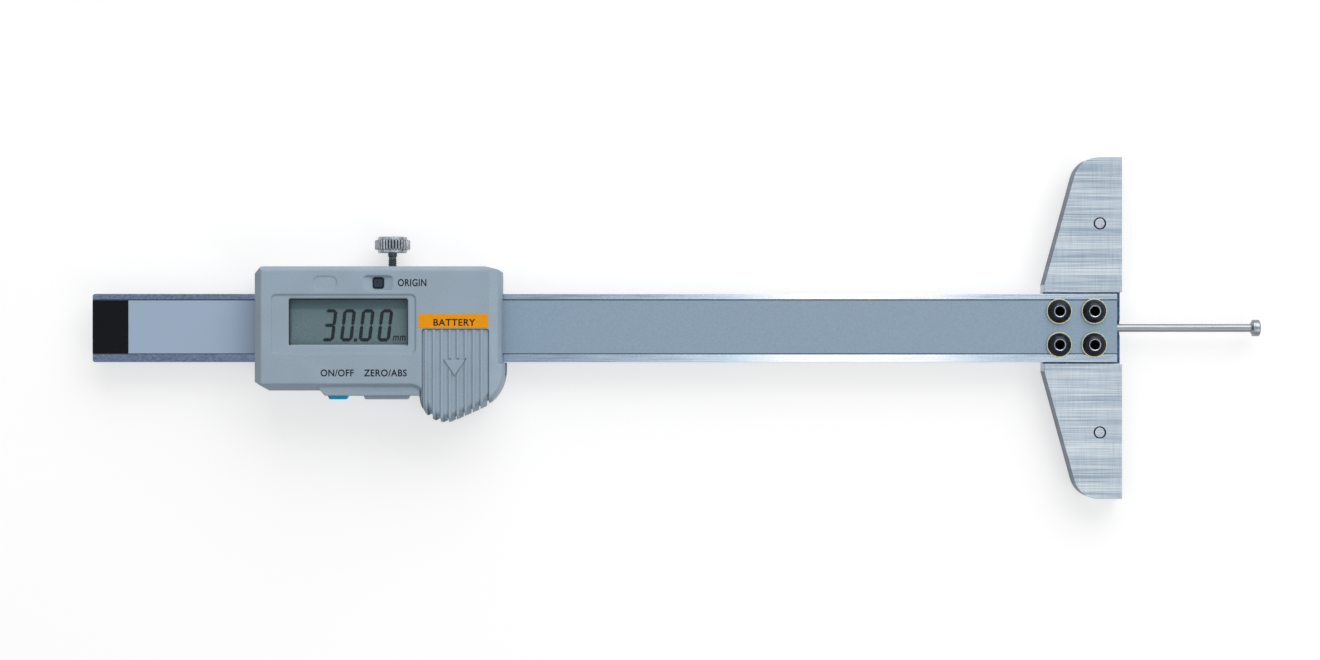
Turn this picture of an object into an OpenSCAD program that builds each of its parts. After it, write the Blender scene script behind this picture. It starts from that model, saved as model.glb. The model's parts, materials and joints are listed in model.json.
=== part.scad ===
// Digital depth gauge, drawn at rest with its rod standing out of the base.
// Origin: the base's measuring face, on the rod's axis.
// +X is the way the rod comes out, +Y runs along the base, +Z looks out of the display.

/* [Beam] */
// Length of the beam
beam_l = 240; // [236:1:300]
// Width of the beam over its two guiding edges
beam_w = 16; // [15:0.5:20]
// Thickness of the beam
beam_t = 3.8; // [3.7:0.1:4.8]
// Width of the rail above the scale's channel
upper_rail_w = 1.3; // [1:0.1:1.8]
// Width of the rail below the scale's channel
lower_rail_w = 1.8; // [1.2:0.1:2.2]
// Depth of the channel that holds the scale
channel_d = 0.5; // [0.45:0.05:0.6]
// Thickness of the scale strip
strip_t = 0.3; // [0.2:0.05:0.3]
// Thickness of the film over the scale
film_t = 0.15; // [0.1:0.05:0.15]
// Length of the black label at the free end
label_l = 8.4; // [5:0.2:12]

/* [Base] */
// Length of the measuring face, over both wings
base_span = 80.2; // [70:0.2:100]
// Length of the base beside the beam
base_root_l = 18.2; // [16:0.2:22]
// Length that the wing's slope would reach at its tip
base_tip_l = 10; // [9:0.5:14]
// Straight part of the back edge beside the beam's slot
shoulder_w = 2.3; // [1:0.1:4]
// Radius of the wing's rounded corner
wing_r = 6; // [3:0.5:7]
// Thickness of the base under the beam
bridge_t = 4; // [3.8:0.1:5]
// Step from the beam's face down to the base's face
base_drop = 0.3; // [0:0.1:0.6]
// Gap between the beam's edge and the slot's wall
slot_gap = 0.35; // [0.1:0.05:0.6]
// Distance from the measuring face back to the beam's end
beam_set_back = 1.2; // [1:0.1:1.6]
// Diameter of the pins in the wings
pin_d = 2.3; // [2:0.1:3]
// Width of the groove round each pin
pin_ring_w = 0.3; // [0.2:0.05:0.5]
// Distance of the pins from the measuring face
pin_set_back = 5.2; // [4:0.1:7]
// Distance of the pins from the beam's centre line
pin_offset = 24.5; // [18:0.5:30]

/* [Rod] */
// Diameter of the rod
rod_d = 1.9; // [1.6:0.1:2.3]
// Diameter of the disc on the rod's end
tip_d = 3.9; // [3:0.1:4]
// Thickness of the disc
tip_t = 2.2; // [1.8:0.1:2.3]
// Length of the cone behind the disc
tip_cone_l = 0.5; // [0.3:0.1:0.8]
// How far the disc's end stands out of the base as drawn
rod_out = 32.7; // [5:0.1:60]

/* [Screws] */
// Thread of the base's screws
base_screw_d = 3; // [2.5:0.5:3]
// Diameter of their button heads
button_head_d = 5.5; // [5:0.1:5.7]
// Height of their button heads
button_head_h = 1.65; // [1.4:0.05:1.8]
// Size of their hexagon socket across its flats
socket_af = 2; // [1.5:0.5:2]
// Length of their shanks
base_screw_l = 8; // [7:0.5:8]
// Diameter of their washers
washer_d = 6; // [5.8:0.1:6.4]
// Thickness of their washers
washer_t = 0.5; // [0.3:0.1:0.8]
// Distance between the two pairs along the beam
screw_pitch_x = 8.2; // [7.5:0.1:9]
// Distance of each row from the beam's edge
screw_edge = 4.08; // [3.9:0.02:4.5]
// Distance of the first pair from the measuring face
screw_set_back = 6.6; // [6:0.1:7.5]
// Thread of the screws that hold the case
case_screw_d = 2; // [1.6:0.1:2]
// Thread of the smallest screws
small_screw_d = 1.6; // [1.2:0.1:1.6]

/* [Slider frame] */
// Distance from the measuring face to the case as drawn
case_gap = 144.8; // [143:0.2:146]
// Running gap between frame and beam
slide_gap = 0.05; // [0.02:0.01:0.1]
// Thickness of the frame behind the beam
frame_back_t = 2.6; // [2.4:0.1:3]
// Width of the frame's fixed jaw
jaw_w = 2.95; // [2.8:0.05:3.4]
// Width of the frame's wall above the gib strip
frame_wall_w = 3.05; // [2.9:0.05:3.6]
// Thickness of the lips over the beam's rails
lip_t = 0.6; // [0.5:0.1:0.8]
// Width of the lips over the beam's rails
lip_w = 1; // [0.6:0.1:1.1]
// Thickness of the gib strip
gib_t = 1.2; // [1:0.1:1.5]

/* [Case] */
// Height of the case's face above the beam's face
case_h = 9; // [8.8:0.1:10]
// Wall of the moulded case
wall = 1.3; // [1.1:0.1:1.4]
// Room between the frame and the case's upper wall
upper_room = 0.6; // [0.4:0.1:1.2]
// Room between the frame and the case's lower wall
lower_room = 2.2; // [2:0.1:3]
// Margin left of the display's frame
left_margin = 4; // [3.8:0.1:6]
// Height of the lobe's centre above the case's lower side
lobe_rise = 4.1; // [3:0.1:5]
// Height of the lobe's rounded rim
rim_h = 2.1; // [1.5:0.1:3]
// How far the key ledge stands out of the lower side
ledge_out = 1.2; // [1:0.1:1.6]
// How far the key ledge lies below the face
ledge_drop = 0.9; // [0.6:0.05:1.5]

/* [Display] */
// Length of the shallow frame round the window
bezel_l = 33.4; // [32:0.2:36]
// Height of the shallow frame round the window
bezel_w = 13.6; // [13:0.1:15]
// Depth of the shallow frame
bezel_d = 0.25; // [0.1:0.05:0.4]
// Length of the window
window_l = 27.6; // [24:0.2:28]
// Height of the window
window_w = 11; // [9:0.2:11.4]
// Centre of the display above the beam's centre line
display_y = 0.95; // [0.5:0.05:1.1]
// Thickness of the display's glass
lcd_t = 1.9; // [1.4:0.1:1.9]
// Thickness of the clear window
lens_t = 1; // [0.8:0.1:1]

/* [Battery] */
// Diameter of the button cell
battery_d = 11.6; // [10:0.1:14]
// Height of the button cell
battery_h = 5.4; // [4:0.1:5.4]
// Width of the door on each side of the cell
door_side = 1.82; // [1.82:0.02:2.6]
// Margin right of the door
door_margin = 3.2; // [3:0.1:4]
// Thickness of the door
door_t = 1.5; // [1.4:0.05:1.6]
// Distance from one rib of the door to the next
rib_pitch = 1.84; // [1.6:0.02:2.2]
// Width of a rib
rib_w = 0.6; // [0.4:0.05:0.8]
// How far the ribs stand up from the door
rib_rise = 0.4; // [0.2:0.05:0.5]

/* [Keys] */
// Side of the small square key
origin_w = 2.1; // [1.6:0.1:2.2]
// Place of the small key left of the display frame's near end
origin_back = 8.7; // [6:0.1:12]
// Travel of the small key
origin_travel = 0.4; // [0.2:0.05:0.5]
// Width of the power key
power_w = 4.76; // [4:0.02:6]
// Place of the power key left of the display frame's near end
power_back = 18.4; // [17.5:0.1:19]
// Width of the zero key
zero_w = 10.7; // [8:0.1:11]
// Place of the zero key left of the display frame's near end
zero_back = 7.1; // [7:0.1:7.6]
// Travel of both side keys
side_travel = 0.5; // [0.3:0.05:0.6]
// How far both side keys stand out of the ledge
side_out = 0.9; // [0.7:0.05:1.4]

/* [Clamp screw] */
// Diameter of the knurled head
knob_d = 8.3; // [7:0.1:9]
// Height of the knurled head
knob_h = 3.8; // [3:0.1:5]
// Diameter of the head's two narrower ends
knob_end_d = 6.9; // [5:0.1:6.9]
// Number of ridges in the knurl
knurl_count = 34; // [24:2:48]
// Depth of the knurl
knurl_d = 0.25; // [0.15:0.05:0.35]
// Diameter of the clamp screw's shank
clamp_d = 2.2; // [1.8:0.1:2.4]
// Place of the clamp screw left of the display frame's near end
clamp_back = 6.3; // [2:0.1:12]
// Gap from the case's upper side to the head
knob_gap = 3.3; // [2:0.1:6]

/* [Hidden] */
$fn = 64;
// Overrun of a cut past the face that it opens, and the least fitting gap between pieces
over = 0.6;
fit = 0.1;
arc_steps = 8;

// Heights, from the rod's axis
rod_clear = 0.1;
groove_clear = 0.08;
beam_back = -rod_d / 2 - rod_clear;
beam_top = beam_back + beam_t;
beam_mid = (beam_back + beam_top) / 2;
channel_floor = beam_top - channel_d;
strip_top = channel_floor + strip_t;
film_top = strip_top + film_t;
base_top = beam_top - base_drop;
base_bottom = beam_back - bridge_t;
case_top = beam_top + case_h;
inner_top = case_top - wall;
frame_inner = beam_back - slide_gap;
frame_back = frame_inner - frame_back_t;
lip_bottom = beam_top + slide_gap;
board_t = 1;
frame_top = lip_bottom + lip_t;
board_top = frame_top + board_t;

// Across the beam
beam_edge = beam_w / 2;
channel_y0 = -beam_edge + lower_rail_w;
channel_y1 = beam_edge - upper_rail_w;
film_gap = 0.25;
jaw_in = -beam_edge - slide_gap;
jaw_out = jaw_in - jaw_w;
gib_in = beam_edge + slide_gap / 2;
gib_out = gib_in + gib_t;
gib_play = 0.12;
wall_in = gib_out + gib_play;
wall_out = wall_in + frame_wall_w;
case_y0 = jaw_out - lower_room - wall;
case_y1 = wall_out + upper_room + wall;

// Along the beam, beside the base
beam_x0 = -beam_set_back - beam_l;
beam_x1 = -beam_set_back;
beam_corner_r = 0.6;
screw_x = [-screw_set_back, -screw_set_back - screw_pitch_x];
screw_y = [-beam_edge + screw_edge, beam_edge - screw_edge];
screw_play = 0.15;
tip_play = 0.15;
tip_recess_gap = 0.2;
tip_chamfer = 0.3;
tip_recess_l = tip_t + tip_recess_gap;
pin_ring_d = 0.5;
label_t = 0.08;
stop_l = 7;
stop_w = 9;
stop_t = 1;
stop_gap = 0.2;
stop_screw_y = 3;
stop_screw_l = 3;

// Along the slider, counted back from the case's near end
door_w = battery_d + 2 * door_side;
door_x = -door_margin - door_w / 2;
lobe_y = case_y0 + lobe_rise;
bezel_gap = 1.56;
bezel_x1 = -door_margin - door_w - bezel_gap;
bezel_x0 = bezel_x1 - bezel_l;
case_l = left_margin - bezel_x0;
bezel_r = 1.1;
window_right = 1.8;
window_x1 = bezel_x1 - window_right;
window_x0 = window_x1 - window_l;
window_lift = 0.38;
window_y = display_y + window_lift;
window_r = 0.5;
frame_inset = 1.1;
frame_x0 = -case_l + frame_inset;
frame_x1 = -frame_inset;
// The end stop's middle, where the frame meets it when the rod is fully drawn in
stop_x = -case_gap + frame_x0 - rod_out - stop_gap - stop_l / 2;

// Case's bevels and corners
left_bevel = 1.6;
top_round = 1.2;
bottom_bevel = 1.6;
bottom_bevel_h = 2;
near_in = 0.3;
near_slope = 3;
near_slope_h = 0.65;
near_step = 1;
near_step_h = 1.8;
far_chamfer_x = 1.6;
far_chamfer_y = 1.65;
low_chamfer_x = 3.3;
low_chamfer_y = 2.05;
near_corner = [[3.9, 0], [0.95, 0.65], [0, 1.3]];
fillet_r = 2;
near_cut_x = 3;
near_cut_y = 1.5;
rear_inset = 0.5;
rear_near_inset = 0.3;
end_play = 0.1;

// Door, cell and their seats
door_y1 = -0.35;
door_drop = 0.4;
door_bottom = board_top - door_drop;
tongue_w = 0.6;
tongue_t = 0.5;
rail_w = 1.3;
rail_h = 0.9;
rib_count = 8;
rib_shift = -0.34;
rib_depth = 0.8;
rib_notch = 0.35;
arrow_w = 5.1;
arrow_h = 3.8;
arrow_drop = 7;
arrow_t = 0.7;
arrow_shift = -0.18;
door_inner = case_top - door_t;
battery_drop = 2;
battery_y = lobe_y - battery_drop;
cell_round_gap = 0.4;
room_r = battery_drop + battery_d / 2 + cell_round_gap;

// The lobe round the cell: a round corner on each side, and a slanting side between them
rim_w = 1.5;
lobe_wall = 2.4;
lobe_slant = 24;
lobe_foot = battery_y - (battery_d / 2 + lobe_wall) / cos(lobe_slant);
lobe_left = bezel_x1 + 0.5 * bezel_gap;
lobe_right = 0.3;
lobe_top = -beam_edge - 0.25;
seam_in = 0.01;
seam_lap = 0.2;
left_r = 6;
right_r = 10;
function slant_y(x) = lobe_foot + (x - door_x) * tan(lobe_slant);
left_centre = [lobe_left + left_r, slant_y(lobe_left + left_r) + left_r / cos(lobe_slant)];
right_centre = [lobe_right - right_r, slant_y(lobe_right - right_r) + right_r / cos(lobe_slant)];
battery_z = door_inner - fit - battery_h;
cell_wall_t = 1.2;
cell_room = 0.25;
cell_wall_y1 = 6.6;
cell_step_h = 0.8;
contact_t = 0.2;
contact_w = 4;
strip_label_l = 16.1;
strip_label_shift = -0.53;
strip_label_w = 3.2;
strip_label_t = 0.08;
strip_label_y = 1.68;

// Board and what it carries
board_gap = 5;
board_end_gap = 6.2;
board_low_lap = 1.4;
board_high_lap = 0.2;
board_x0 = -case_l + board_end_gap;
board_x1 = -board_gap;
board_y0 = jaw_out - board_low_lap;
board_y1 = wall_out + board_high_lap;
head_x0 = frame_x0 + board_gap;
head_x1 = frame_x1 - board_gap;
head_t = 0.45;
head_gap = 0.4;
holder_t = 0.7;
holder_side = 2;
holder_x0 = bezel_x0 + holder_side;
holder_lap = 0.2;
holder_x1 = bezel_x1 + holder_lap;
holder_h = 15.3;
holder_y0 = display_y - holder_h / 2;
holder_y1 = display_y + holder_h / 2;
lens_gap = 0.15;
lcd_top = inner_top - lens_t - lens_gap;
lcd_z = lcd_top - lcd_t;
lens_lap = 1;
zebra_w = 1.8;
zebra_end = 0.7;
chip_w = 7;
chip_t = 1.4;
chip_y = 4.5;
crystal_d = 2;
crystal_l = 6;
crystal_y = -1.4;

// Screws inside the slider
pan_d = 3;
pan_h = 0.8;
driver_slot_w = 0.4;
driver_slot_d = 0.4;
board_screw_l = 4;
board_screw_in = 4.2;
board_screw_gap = 0.6;
board_screw_x0 = board_x0 + board_screw_in;
cell_wall_x = door_x - battery_d / 2 - cell_room - cell_wall_t;
board_screw_x = [board_screw_x0, cell_wall_x - board_screw_gap - pan_d / 2];
board_screw_upper_x = [board_screw_x0, door_x];
case_screw_far = 4.1;
case_screw_near = 2.9;
case_screw_x = [-case_l + case_screw_far, -case_screw_near];
case_screw_y = [(jaw_in + jaw_out) / 2, (wall_in + wall_out) / 2];
case_head_d = 3.4;
case_head_h = 0.7;
case_head_sink = 0.1;
case_screw_l = 11;
post_d = 3.2;
gib_screw_d = 2;
gib_screw_in = 6;
gib_screw_x = [frame_x0 + gib_screw_in, frame_x1 - gib_screw_in];
gib_screw_sink = 0.3;
flat_head_d = 3;
flat_head_h = 0.7;

// Rod's seat in the frame
rod_end_in = 14.3;
rod_end = frame_x0 + rod_end_in;
holder_block_l = 12;
holder_block_w = 8;
holder_block_t = 1.2;
holder_from_rod_end = 5;
holder_block_x = rod_end + holder_from_rod_end;
post_l = 4;
post_w = 1.8;
post_top = -0.3 * rod_d;
holder_screw_dx = 4.4;
holder_screw_l = 2.4;

// Keys and switches
origin_x = bezel_x1 - origin_back;
power_x = bezel_x1 - power_back;
zero_x = bezel_x1 - zero_back;
key_z = 6.3;
key_h = 3.2;
key_taper = 0.35;
key_flange = 0.6;
key_flange_t = 0.6;
key_gap = 0.1;
key_in = case_y0 + wall;
ledge_y = case_y0 - ledge_out;
ledge_top = case_top - ledge_drop;
ledge_from_power = 4.8;
ledge_x0 = power_x - ledge_from_power;
ledge_slope = 2.1;
plunger_t = 0.25;
plunger_w = 1.4;
side_switch_w = 4;
side_switch_t = 2;
side_switch_h = 3.2;
origin_y = 10.42;
origin_gap = 0.3;
origin_flange = 0.55;
origin_flange_t = 0.6;
origin_sink = 0.85;
scoop_l = 7;
scoop_w = 3.33;
scoop_d = 0.9;
scoop_r = (scoop_l * scoop_l / 4 + scoop_d * scoop_d) / (2 * scoop_d);
oval_l = 5.5;
oval_w = 3.2;
oval_d = 0.12;
oval_back = 21;
oval_x = bezel_x1 - oval_back;
origin_switch_w = 3;
origin_switch_h = 2.6;

// Clamp screw and its shoe
clamp_x = bezel_x1 - clamp_back;
shoe_d = 3;
shoe_t = 1;
shoe_gap = 0.05;
shoe_room = 1.5;
knob_y0 = case_y1 + knob_gap;
knob_step = 0.75;
clamp_hole_gap = 0.4;
thread_gap = 0.03;

// A block between two opposite corners
module block(low, high) { translate(low) cube(high - low); }

// An outline in Y and Z, drawn out along X
module along_x(x0, x1) {
  translate([x0, 0, 0]) rotate([90, 0, 90]) linear_extrude(x1 - x0) children();
}

// An outline in X and Z, drawn out along Y
module along_y(y0, y1) {
  translate([0, y1, 0]) rotate([90, 0, 0]) linear_extrude(y1 - y0) children();
}

// An outline in X and Y, drawn out along Z
module along_z(z0, z1) { translate([0, 0, z0]) linear_extrude(z1 - z0) children(); }

// Cylinders along each axis
module rod_x(x0, x1, d) { translate([x0, 0, 0]) rotate([0, 90, 0]) cylinder(d = d, h = x1 - x0); }
module rod_y(y0, y1, d) { translate([0, y1, 0]) rotate([90, 0, 0]) cylinder(d = d, h = y1 - y0); }
module rod_z(z0, z1, d) { translate([0, 0, z0]) cylinder(d = d, h = z1 - z0); }

// The slider's own place, with X counted from the case's near end
module on_slider() { translate([-case_gap, 0, 0]) children(); }

// Corners given as [x, y, radius], turned into an outline with round corners
function unit(v) = v / norm(v);
function corner(p, a, b) =
  let (u = unit(a - p), v = unit(b - p), half = acos(u * v) / 2)
  let (c = p + unit(u + v) * (1 / sin(half)))
  [u, v, half, c];
function round_corner(q, a, b) =
  q[2] == 0 ? [[q[0], q[1]]] :
  let (p = [q[0], q[1]], k = corner(p, a, b), r = q[2])
  let (c = p + (k[3] - p) * r, t = r / tan(k[2]))
  let (s = p + k[0] * t - c, e = p + k[1] * t - c)
  let (a0 = atan2(s[1], s[0]), turn = atan2(e[1], e[0]) - a0)
  let (sweep = turn > 180 ? turn - 360 : turn < -180 ? turn + 360 : turn)
  [for (i = [0:arc_steps]) c + r * [cos(a0 + sweep * i / arc_steps), sin(a0 + sweep * i / arc_steps)]];
function flat(q) = [q[0], q[1]];
function outline(c) =
  let (n = len(c))
  [for (i = [0:n - 1]) each round_corner(c[i], flat(c[(i + n - 1) % n]), flat(c[(i + 1) % n]))];

// A rectangle with round corners
module round_rect(x0, x1, y0, y1, r) {
  polygon(outline([[x0, y0, r], [x1, y0, r], [x1, y1, r], [x0, y1, r]]));
}

// A pan-head screw that points down, its head standing on z = 0
module pan_screw(d, length, head_d, head_h) {
  difference() {
    union() {
      rod_z(-length, over / 2, d);
      rod_z(0, head_h, head_d);
    }
    block([-head_d, -driver_slot_w / 2, head_h - driver_slot_d], [head_d, driver_slot_w / 2, head_h + over]);
  }
}

// A countersunk screw that points down, its head level with z = 0
module flat_screw(d, length) {
  difference() {
    union() {
      rod_z(-length, -flat_head_h / 2, d);
      flat_head();
    }
    block([-flat_head_d, -driver_slot_w / 2, -driver_slot_d], [flat_head_d, driver_slot_w / 2, over]);
  }
}

// The cone of a countersunk head, or of its seat
module flat_head() {
  translate([0, 0, -flat_head_h]) cylinder(d1 = small_screw_d, d2 = flat_head_d, h = flat_head_h);
}

module main_beam() {
  color("lightsteelblue") difference() {
    along_z(beam_back, beam_top) polygon(outline([
      [beam_x0, -beam_edge, beam_corner_r], [beam_x1, -beam_edge, 0],
      [beam_x1, beam_edge, 0], [beam_x0, beam_edge, beam_corner_r]
    ]));
    block([beam_x0 - over, channel_y0, channel_floor], [beam_x1 + over, channel_y1, beam_top + over]);
    rod_x(beam_x0 - over, beam_x1 + over, rod_d + 2 * groove_clear);
    block(
      [beam_x0 - over, -rod_d / 2 - groove_clear, beam_back - over],
      [beam_x1 + over, rod_d / 2 + groove_clear, 0]
    );
    rod_x(-tip_recess_l, over, tip_d + 2 * tip_play);
    for (x = screw_x, y = screw_y) {
      translate([x, y, 0]) rod_z(beam_back - over, beam_top + over, base_screw_d + 2 * screw_play);
    }
    for (side = [-1, 1]) {
      translate([stop_x, side * stop_screw_y, beam_back]) {
        rod_z(-over, stop_screw_l - stop_t, small_screw_d);
      }
    }
  }
}

module screw_holes_in_scale() {
  for (x = screw_x, y = screw_y) {
    translate([x, y, 0]) rod_z(channel_floor - over, film_top + over, base_screw_d + 2 * screw_play);
  }
}

module scale_strip() {
  color("darkolivegreen") difference() {
    block([beam_x0, channel_y0, channel_floor], [beam_x1, channel_y1, strip_top]);
    screw_holes_in_scale();
  }
}

module scale_film() {
  color("#8fa3b5") difference() {
    block([beam_x0, channel_y0 + film_gap, strip_top], [beam_x1, channel_y1 - film_gap, film_top]);
    screw_holes_in_scale();
  }
}

module end_label() {
  color("#16181c") block(
    [beam_x0, channel_y0 + film_gap, film_top],
    [beam_x0 + label_l, channel_y1 - film_gap, film_top + label_t]
  );
}

// Outline of the base, with its two wings
module base_plan() {
  half = base_span / 2;
  shoulder = beam_edge + shoulder_w;
  polygon(outline([
    [0, -half, 0], [0, half, 0], [-base_tip_l, half, wing_r],
    [-base_root_l, shoulder, shoulder_w / 2], [-base_root_l, -shoulder, shoulder_w / 2],
    [-base_tip_l, -half, wing_r]
  ]));
}

module measuring_base() {
  color("silver") difference() {
    along_z(base_bottom, base_top) base_plan();
    block(
      [-base_root_l - over, -beam_edge - slot_gap, beam_back],
      [over, beam_edge + slot_gap, base_top + over]
    );
    rod_x(-tip_recess_l, over, tip_d + 2 * tip_play);
    for (x = screw_x, y = screw_y) {
      translate([x, y, 0]) rod_z(base_bottom - over, beam_back + over, base_screw_d);
    }
    for (side = [-1, 1]) {
      translate([-pin_set_back, side * pin_offset, 0]) {
        rod_z(base_bottom - over, base_top + over, pin_d);
        rod_z(base_top - pin_ring_d, base_top + over, pin_d + 2 * pin_ring_w);
      }
    }
  }
}

// Profile of a button head: a dome over a flat foot
module button_head() {
  dome_r = (button_head_d * button_head_d / 4 + button_head_h * button_head_h) / (2 * button_head_h);
  top_share = 0.4;
  top_r = button_head_d * top_share / 2;
  foot_h = 0.15 * button_head_h;
  difference() {
    rotate_extrude() polygon(concat(
      [[0, 0], [button_head_d / 2, 0], [button_head_d / 2, foot_h]],
      [for (i = [1:arc_steps]) let (r = button_head_d / 2 + (top_r - button_head_d / 2) * i / arc_steps)
        [r, max(foot_h, button_head_h - dome_r + sqrt(dome_r * dome_r - r * r))]],
      [[0, button_head_h - dome_r + sqrt(dome_r * dome_r - top_r * top_r)]]
    ));
    socket_depth = 0.62 * button_head_h;
    translate([0, 0, button_head_h - socket_depth]) {
      cylinder(d = socket_af / cos(30), h = button_head_h + over, $fn = 6);
    }
  }
}

module base_screws() {
  seat = beam_top + washer_t;
  color("#1b2430") for (x = screw_x, y = screw_y) {
    translate([x, y, seat]) {
      button_head();
      rod_z(-base_screw_l, 0, base_screw_d);
    }
  }
}

module base_washers() {
  color("#b8b795") for (x = screw_x, y = screw_y) {
    translate([x, y, beam_top]) difference() {
      rod_z(0, washer_t, washer_d);
      rod_z(-over, washer_t + over, base_screw_d + screw_play);
    }
  }
}

module wing_pins() {
  sink = 0.05;
  color("gainsboro") for (side = [-1, 1]) {
    translate([-pin_set_back, side * pin_offset, 0]) rod_z(base_bottom + sink, base_top - sink, pin_d);
  }
}

module end_stop() {
  color("silver") difference() {
    along_z(beam_back - stop_t, beam_back) {
      round_rect(stop_x - stop_l / 2, stop_x + stop_l / 2, -stop_w / 2, stop_w / 2, stop_t);
    }
    for (side = [-1, 1]) {
      translate([stop_x, side * stop_screw_y, beam_back - stop_t]) {
        rod_z(-over, stop_t + over, small_screw_d);
        mirror([0, 0, 1]) flat_head();
      }
    }
  }
}

module end_stop_screws() {
  color("dimgray") for (side = [-1, 1]) {
    translate([stop_x, side * stop_screw_y, beam_back - stop_t]) {
      mirror([0, 0, 1]) flat_screw(small_screw_d, stop_screw_l);
    }
  }
}

// The metal frame: a closed ring round the beam, with room for the gib strip along the upper edge
module slider_frame() {
  lip_y = beam_edge - lip_w;
  color("darkgray") on_slider() difference() {
    along_x(frame_x0, frame_x1) polygon([
      [jaw_out, frame_back], [wall_out, frame_back], [wall_out, frame_top],
      [lip_y, frame_top], [lip_y, lip_bottom], [wall_in, lip_bottom], [wall_in, frame_inner],
      [jaw_in, frame_inner], [jaw_in, lip_bottom], [-lip_y, lip_bottom],
      [-lip_y, frame_top], [jaw_out, frame_top]
    ]);
    for (x = case_screw_x, y = case_screw_y) {
      translate([x, y, 0]) rod_z(frame_back - over, frame_top + over, case_screw_d + fit);
    }
    board_screw_places() rod_z(-board_screw_l, over, small_screw_d);
    for (x = gib_screw_x) {
      translate([x, 0, beam_mid]) rod_y(wall_in - over, wall_out + over, gib_screw_d);
    }
    translate([clamp_x, 0, beam_mid]) {
      rod_y(wall_in - over, wall_out + over, clamp_d + 2 * thread_gap);
      rod_y(wall_in - over, wall_in + shoe_room, shoe_d + 2 * thread_gap);
    }
    translate([holder_block_x, 0, 0]) {
      block(
        [-holder_block_l / 2 - fit, -holder_block_w / 2 - fit, frame_back - over],
        [holder_block_l / 2 + fit, holder_block_w / 2 + fit, frame_back + holder_block_t]
      );
      block(
        [-post_l / 2 - fit, -post_w / 2 - fit, frame_back],
        [post_l / 2 + fit, post_w / 2 + fit, frame_inner + over]
      );
      for (side = [-1, 1]) {
        translate([side * holder_screw_dx, 0, frame_back]) rod_z(0, holder_screw_l, small_screw_d);
      }
    }
  }
}

module gib_strip() {
  end_room = 1;
  color("goldenrod") on_slider() block(
    [frame_x0 + end_room, gib_in, frame_inner + fit],
    [frame_x1 - end_room, gib_out, lip_bottom - fit]
  );
}

module gib_screws() {
  color("dimgray") on_slider() for (x = gib_screw_x) {
    translate([x, 0, beam_mid]) difference() {
      rod_y(gib_out, wall_out - gib_screw_sink, gib_screw_d);
      block(
        [-driver_slot_w / 2, wall_out - gib_screw_sink - driver_slot_d, -gib_screw_d],
        [driver_slot_w / 2, wall_out + over, gib_screw_d]
      );
    }
  }
}

module reading_head() {
  lip_y = beam_edge - lip_w;
  color("seagreen") on_slider() block(
    [head_x0, -lip_y + head_gap, frame_top - head_t],
    [head_x1, lip_y - head_gap, frame_top]
  );
}

module board_screw_places() {
  translate([0, 0, frame_top]) {
    for (x = board_screw_x) translate([x, case_screw_y[0], 0]) children();
    for (x = board_screw_upper_x) translate([x, case_screw_y[1], 0]) children();
  }
}

module circuit_board() {
  color("darkgreen") on_slider() difference() {
    block([board_x0, board_y0, frame_top], [board_x1, board_y1, board_top]);
    board_screw_places() rod_z(-over, board_t + over, small_screw_d + fit);
  }
}

module board_screws() {
  color("silver") on_slider() board_screw_places() {
    translate([0, 0, board_t]) pan_screw(small_screw_d, board_screw_l, pan_d, pan_h);
  }
}

module processor_chip() {
  color("#202020") on_slider() translate([door_x, chip_y, board_top]) {
    block([-chip_w / 2, -chip_w / 2, 0], [chip_w / 2, chip_w / 2, chip_t]);
  }
}

module crystal() {
  color("silver") on_slider() translate([door_x, crystal_y, board_top + crystal_d / 2]) {
    rod_x(-crystal_l / 2, crystal_l / 2, crystal_d);
  }
}

module zebra_strips() {
  low = holder_y0 + holder_t + 0.5 * fit;
  high = holder_y1 - holder_t - 0.5 * fit;
  color("pink") on_slider() for (y = [low, high - zebra_w]) {
    block(
      [holder_x0 + holder_t + zebra_end, y, board_top],
      [holder_x1 - holder_t - zebra_end, y + zebra_w, lcd_z]
    );
  }
}

module lcd_holder() {
  color("whitesmoke") on_slider() difference() {
    block([holder_x0, holder_y0, board_top], [holder_x1, holder_y1, lcd_top]);
    block(
      [holder_x0 + holder_t, holder_y0 + holder_t, board_top - over],
      [holder_x1 - holder_t, holder_y1 - holder_t, lcd_top + over]
    );
  }
}

module lcd_glass() {
  edge = holder_t + 0.5 * fit;
  color("#7f918c") on_slider() block(
    [holder_x0 + edge, holder_y0 + edge, lcd_z],
    [holder_x1 - edge, holder_y1 - edge, lcd_top]
  );
}

module lcd_window() {
  color([0.85, 0.9, 0.92, 0.35]) on_slider() along_z(inner_top - lens_t, inner_top) round_rect(
    window_x0 - lens_lap, window_x1 + lens_lap,
    window_y - window_w / 2 - lens_lap, window_y + window_w / 2 + lens_lap, window_r
  );
}

// Plan of the case without its lobe and ledge
function case_plan(inset, near_inset) = concat([
  [-case_l + inset, case_y1 - far_chamfer_y], [-case_l + inset, case_y0 + low_chamfer_y],
  [-case_l + low_chamfer_x, case_y0 + inset], [-near_cut_x, case_y0 + inset],
  [-near_in - near_inset, lobe_y + near_cut_y]
], [for (i = [2:-1:0]) [-near_in - near_inset - near_corner[i][0], case_y1 - inset - near_corner[i][1]]], [
  [-case_l + far_chamfer_x, case_y1 - inset]
]);

// Bevels along the upper and lower sides, seen along the beam
module side_profile(z0) {
  polygon(outline([
    [case_y0, z0, 0], [case_y1, z0, 0], [case_y1, case_top, top_round],
    [case_y0 + bottom_bevel, case_top, 0], [case_y0, case_top - bottom_bevel_h, 0]
  ]));
}

// Bevels at both ends, seen from below
module end_profile(z0) {
  polygon([
    [-case_l, z0], [-near_in, z0], [-near_in, case_top - near_slope_h - near_step_h],
    [-near_step, case_top - near_slope_h], [-near_slope, case_top],
    [-case_l + left_bevel, case_top], [-case_l, case_top - left_bevel]
  ]);
}

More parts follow.
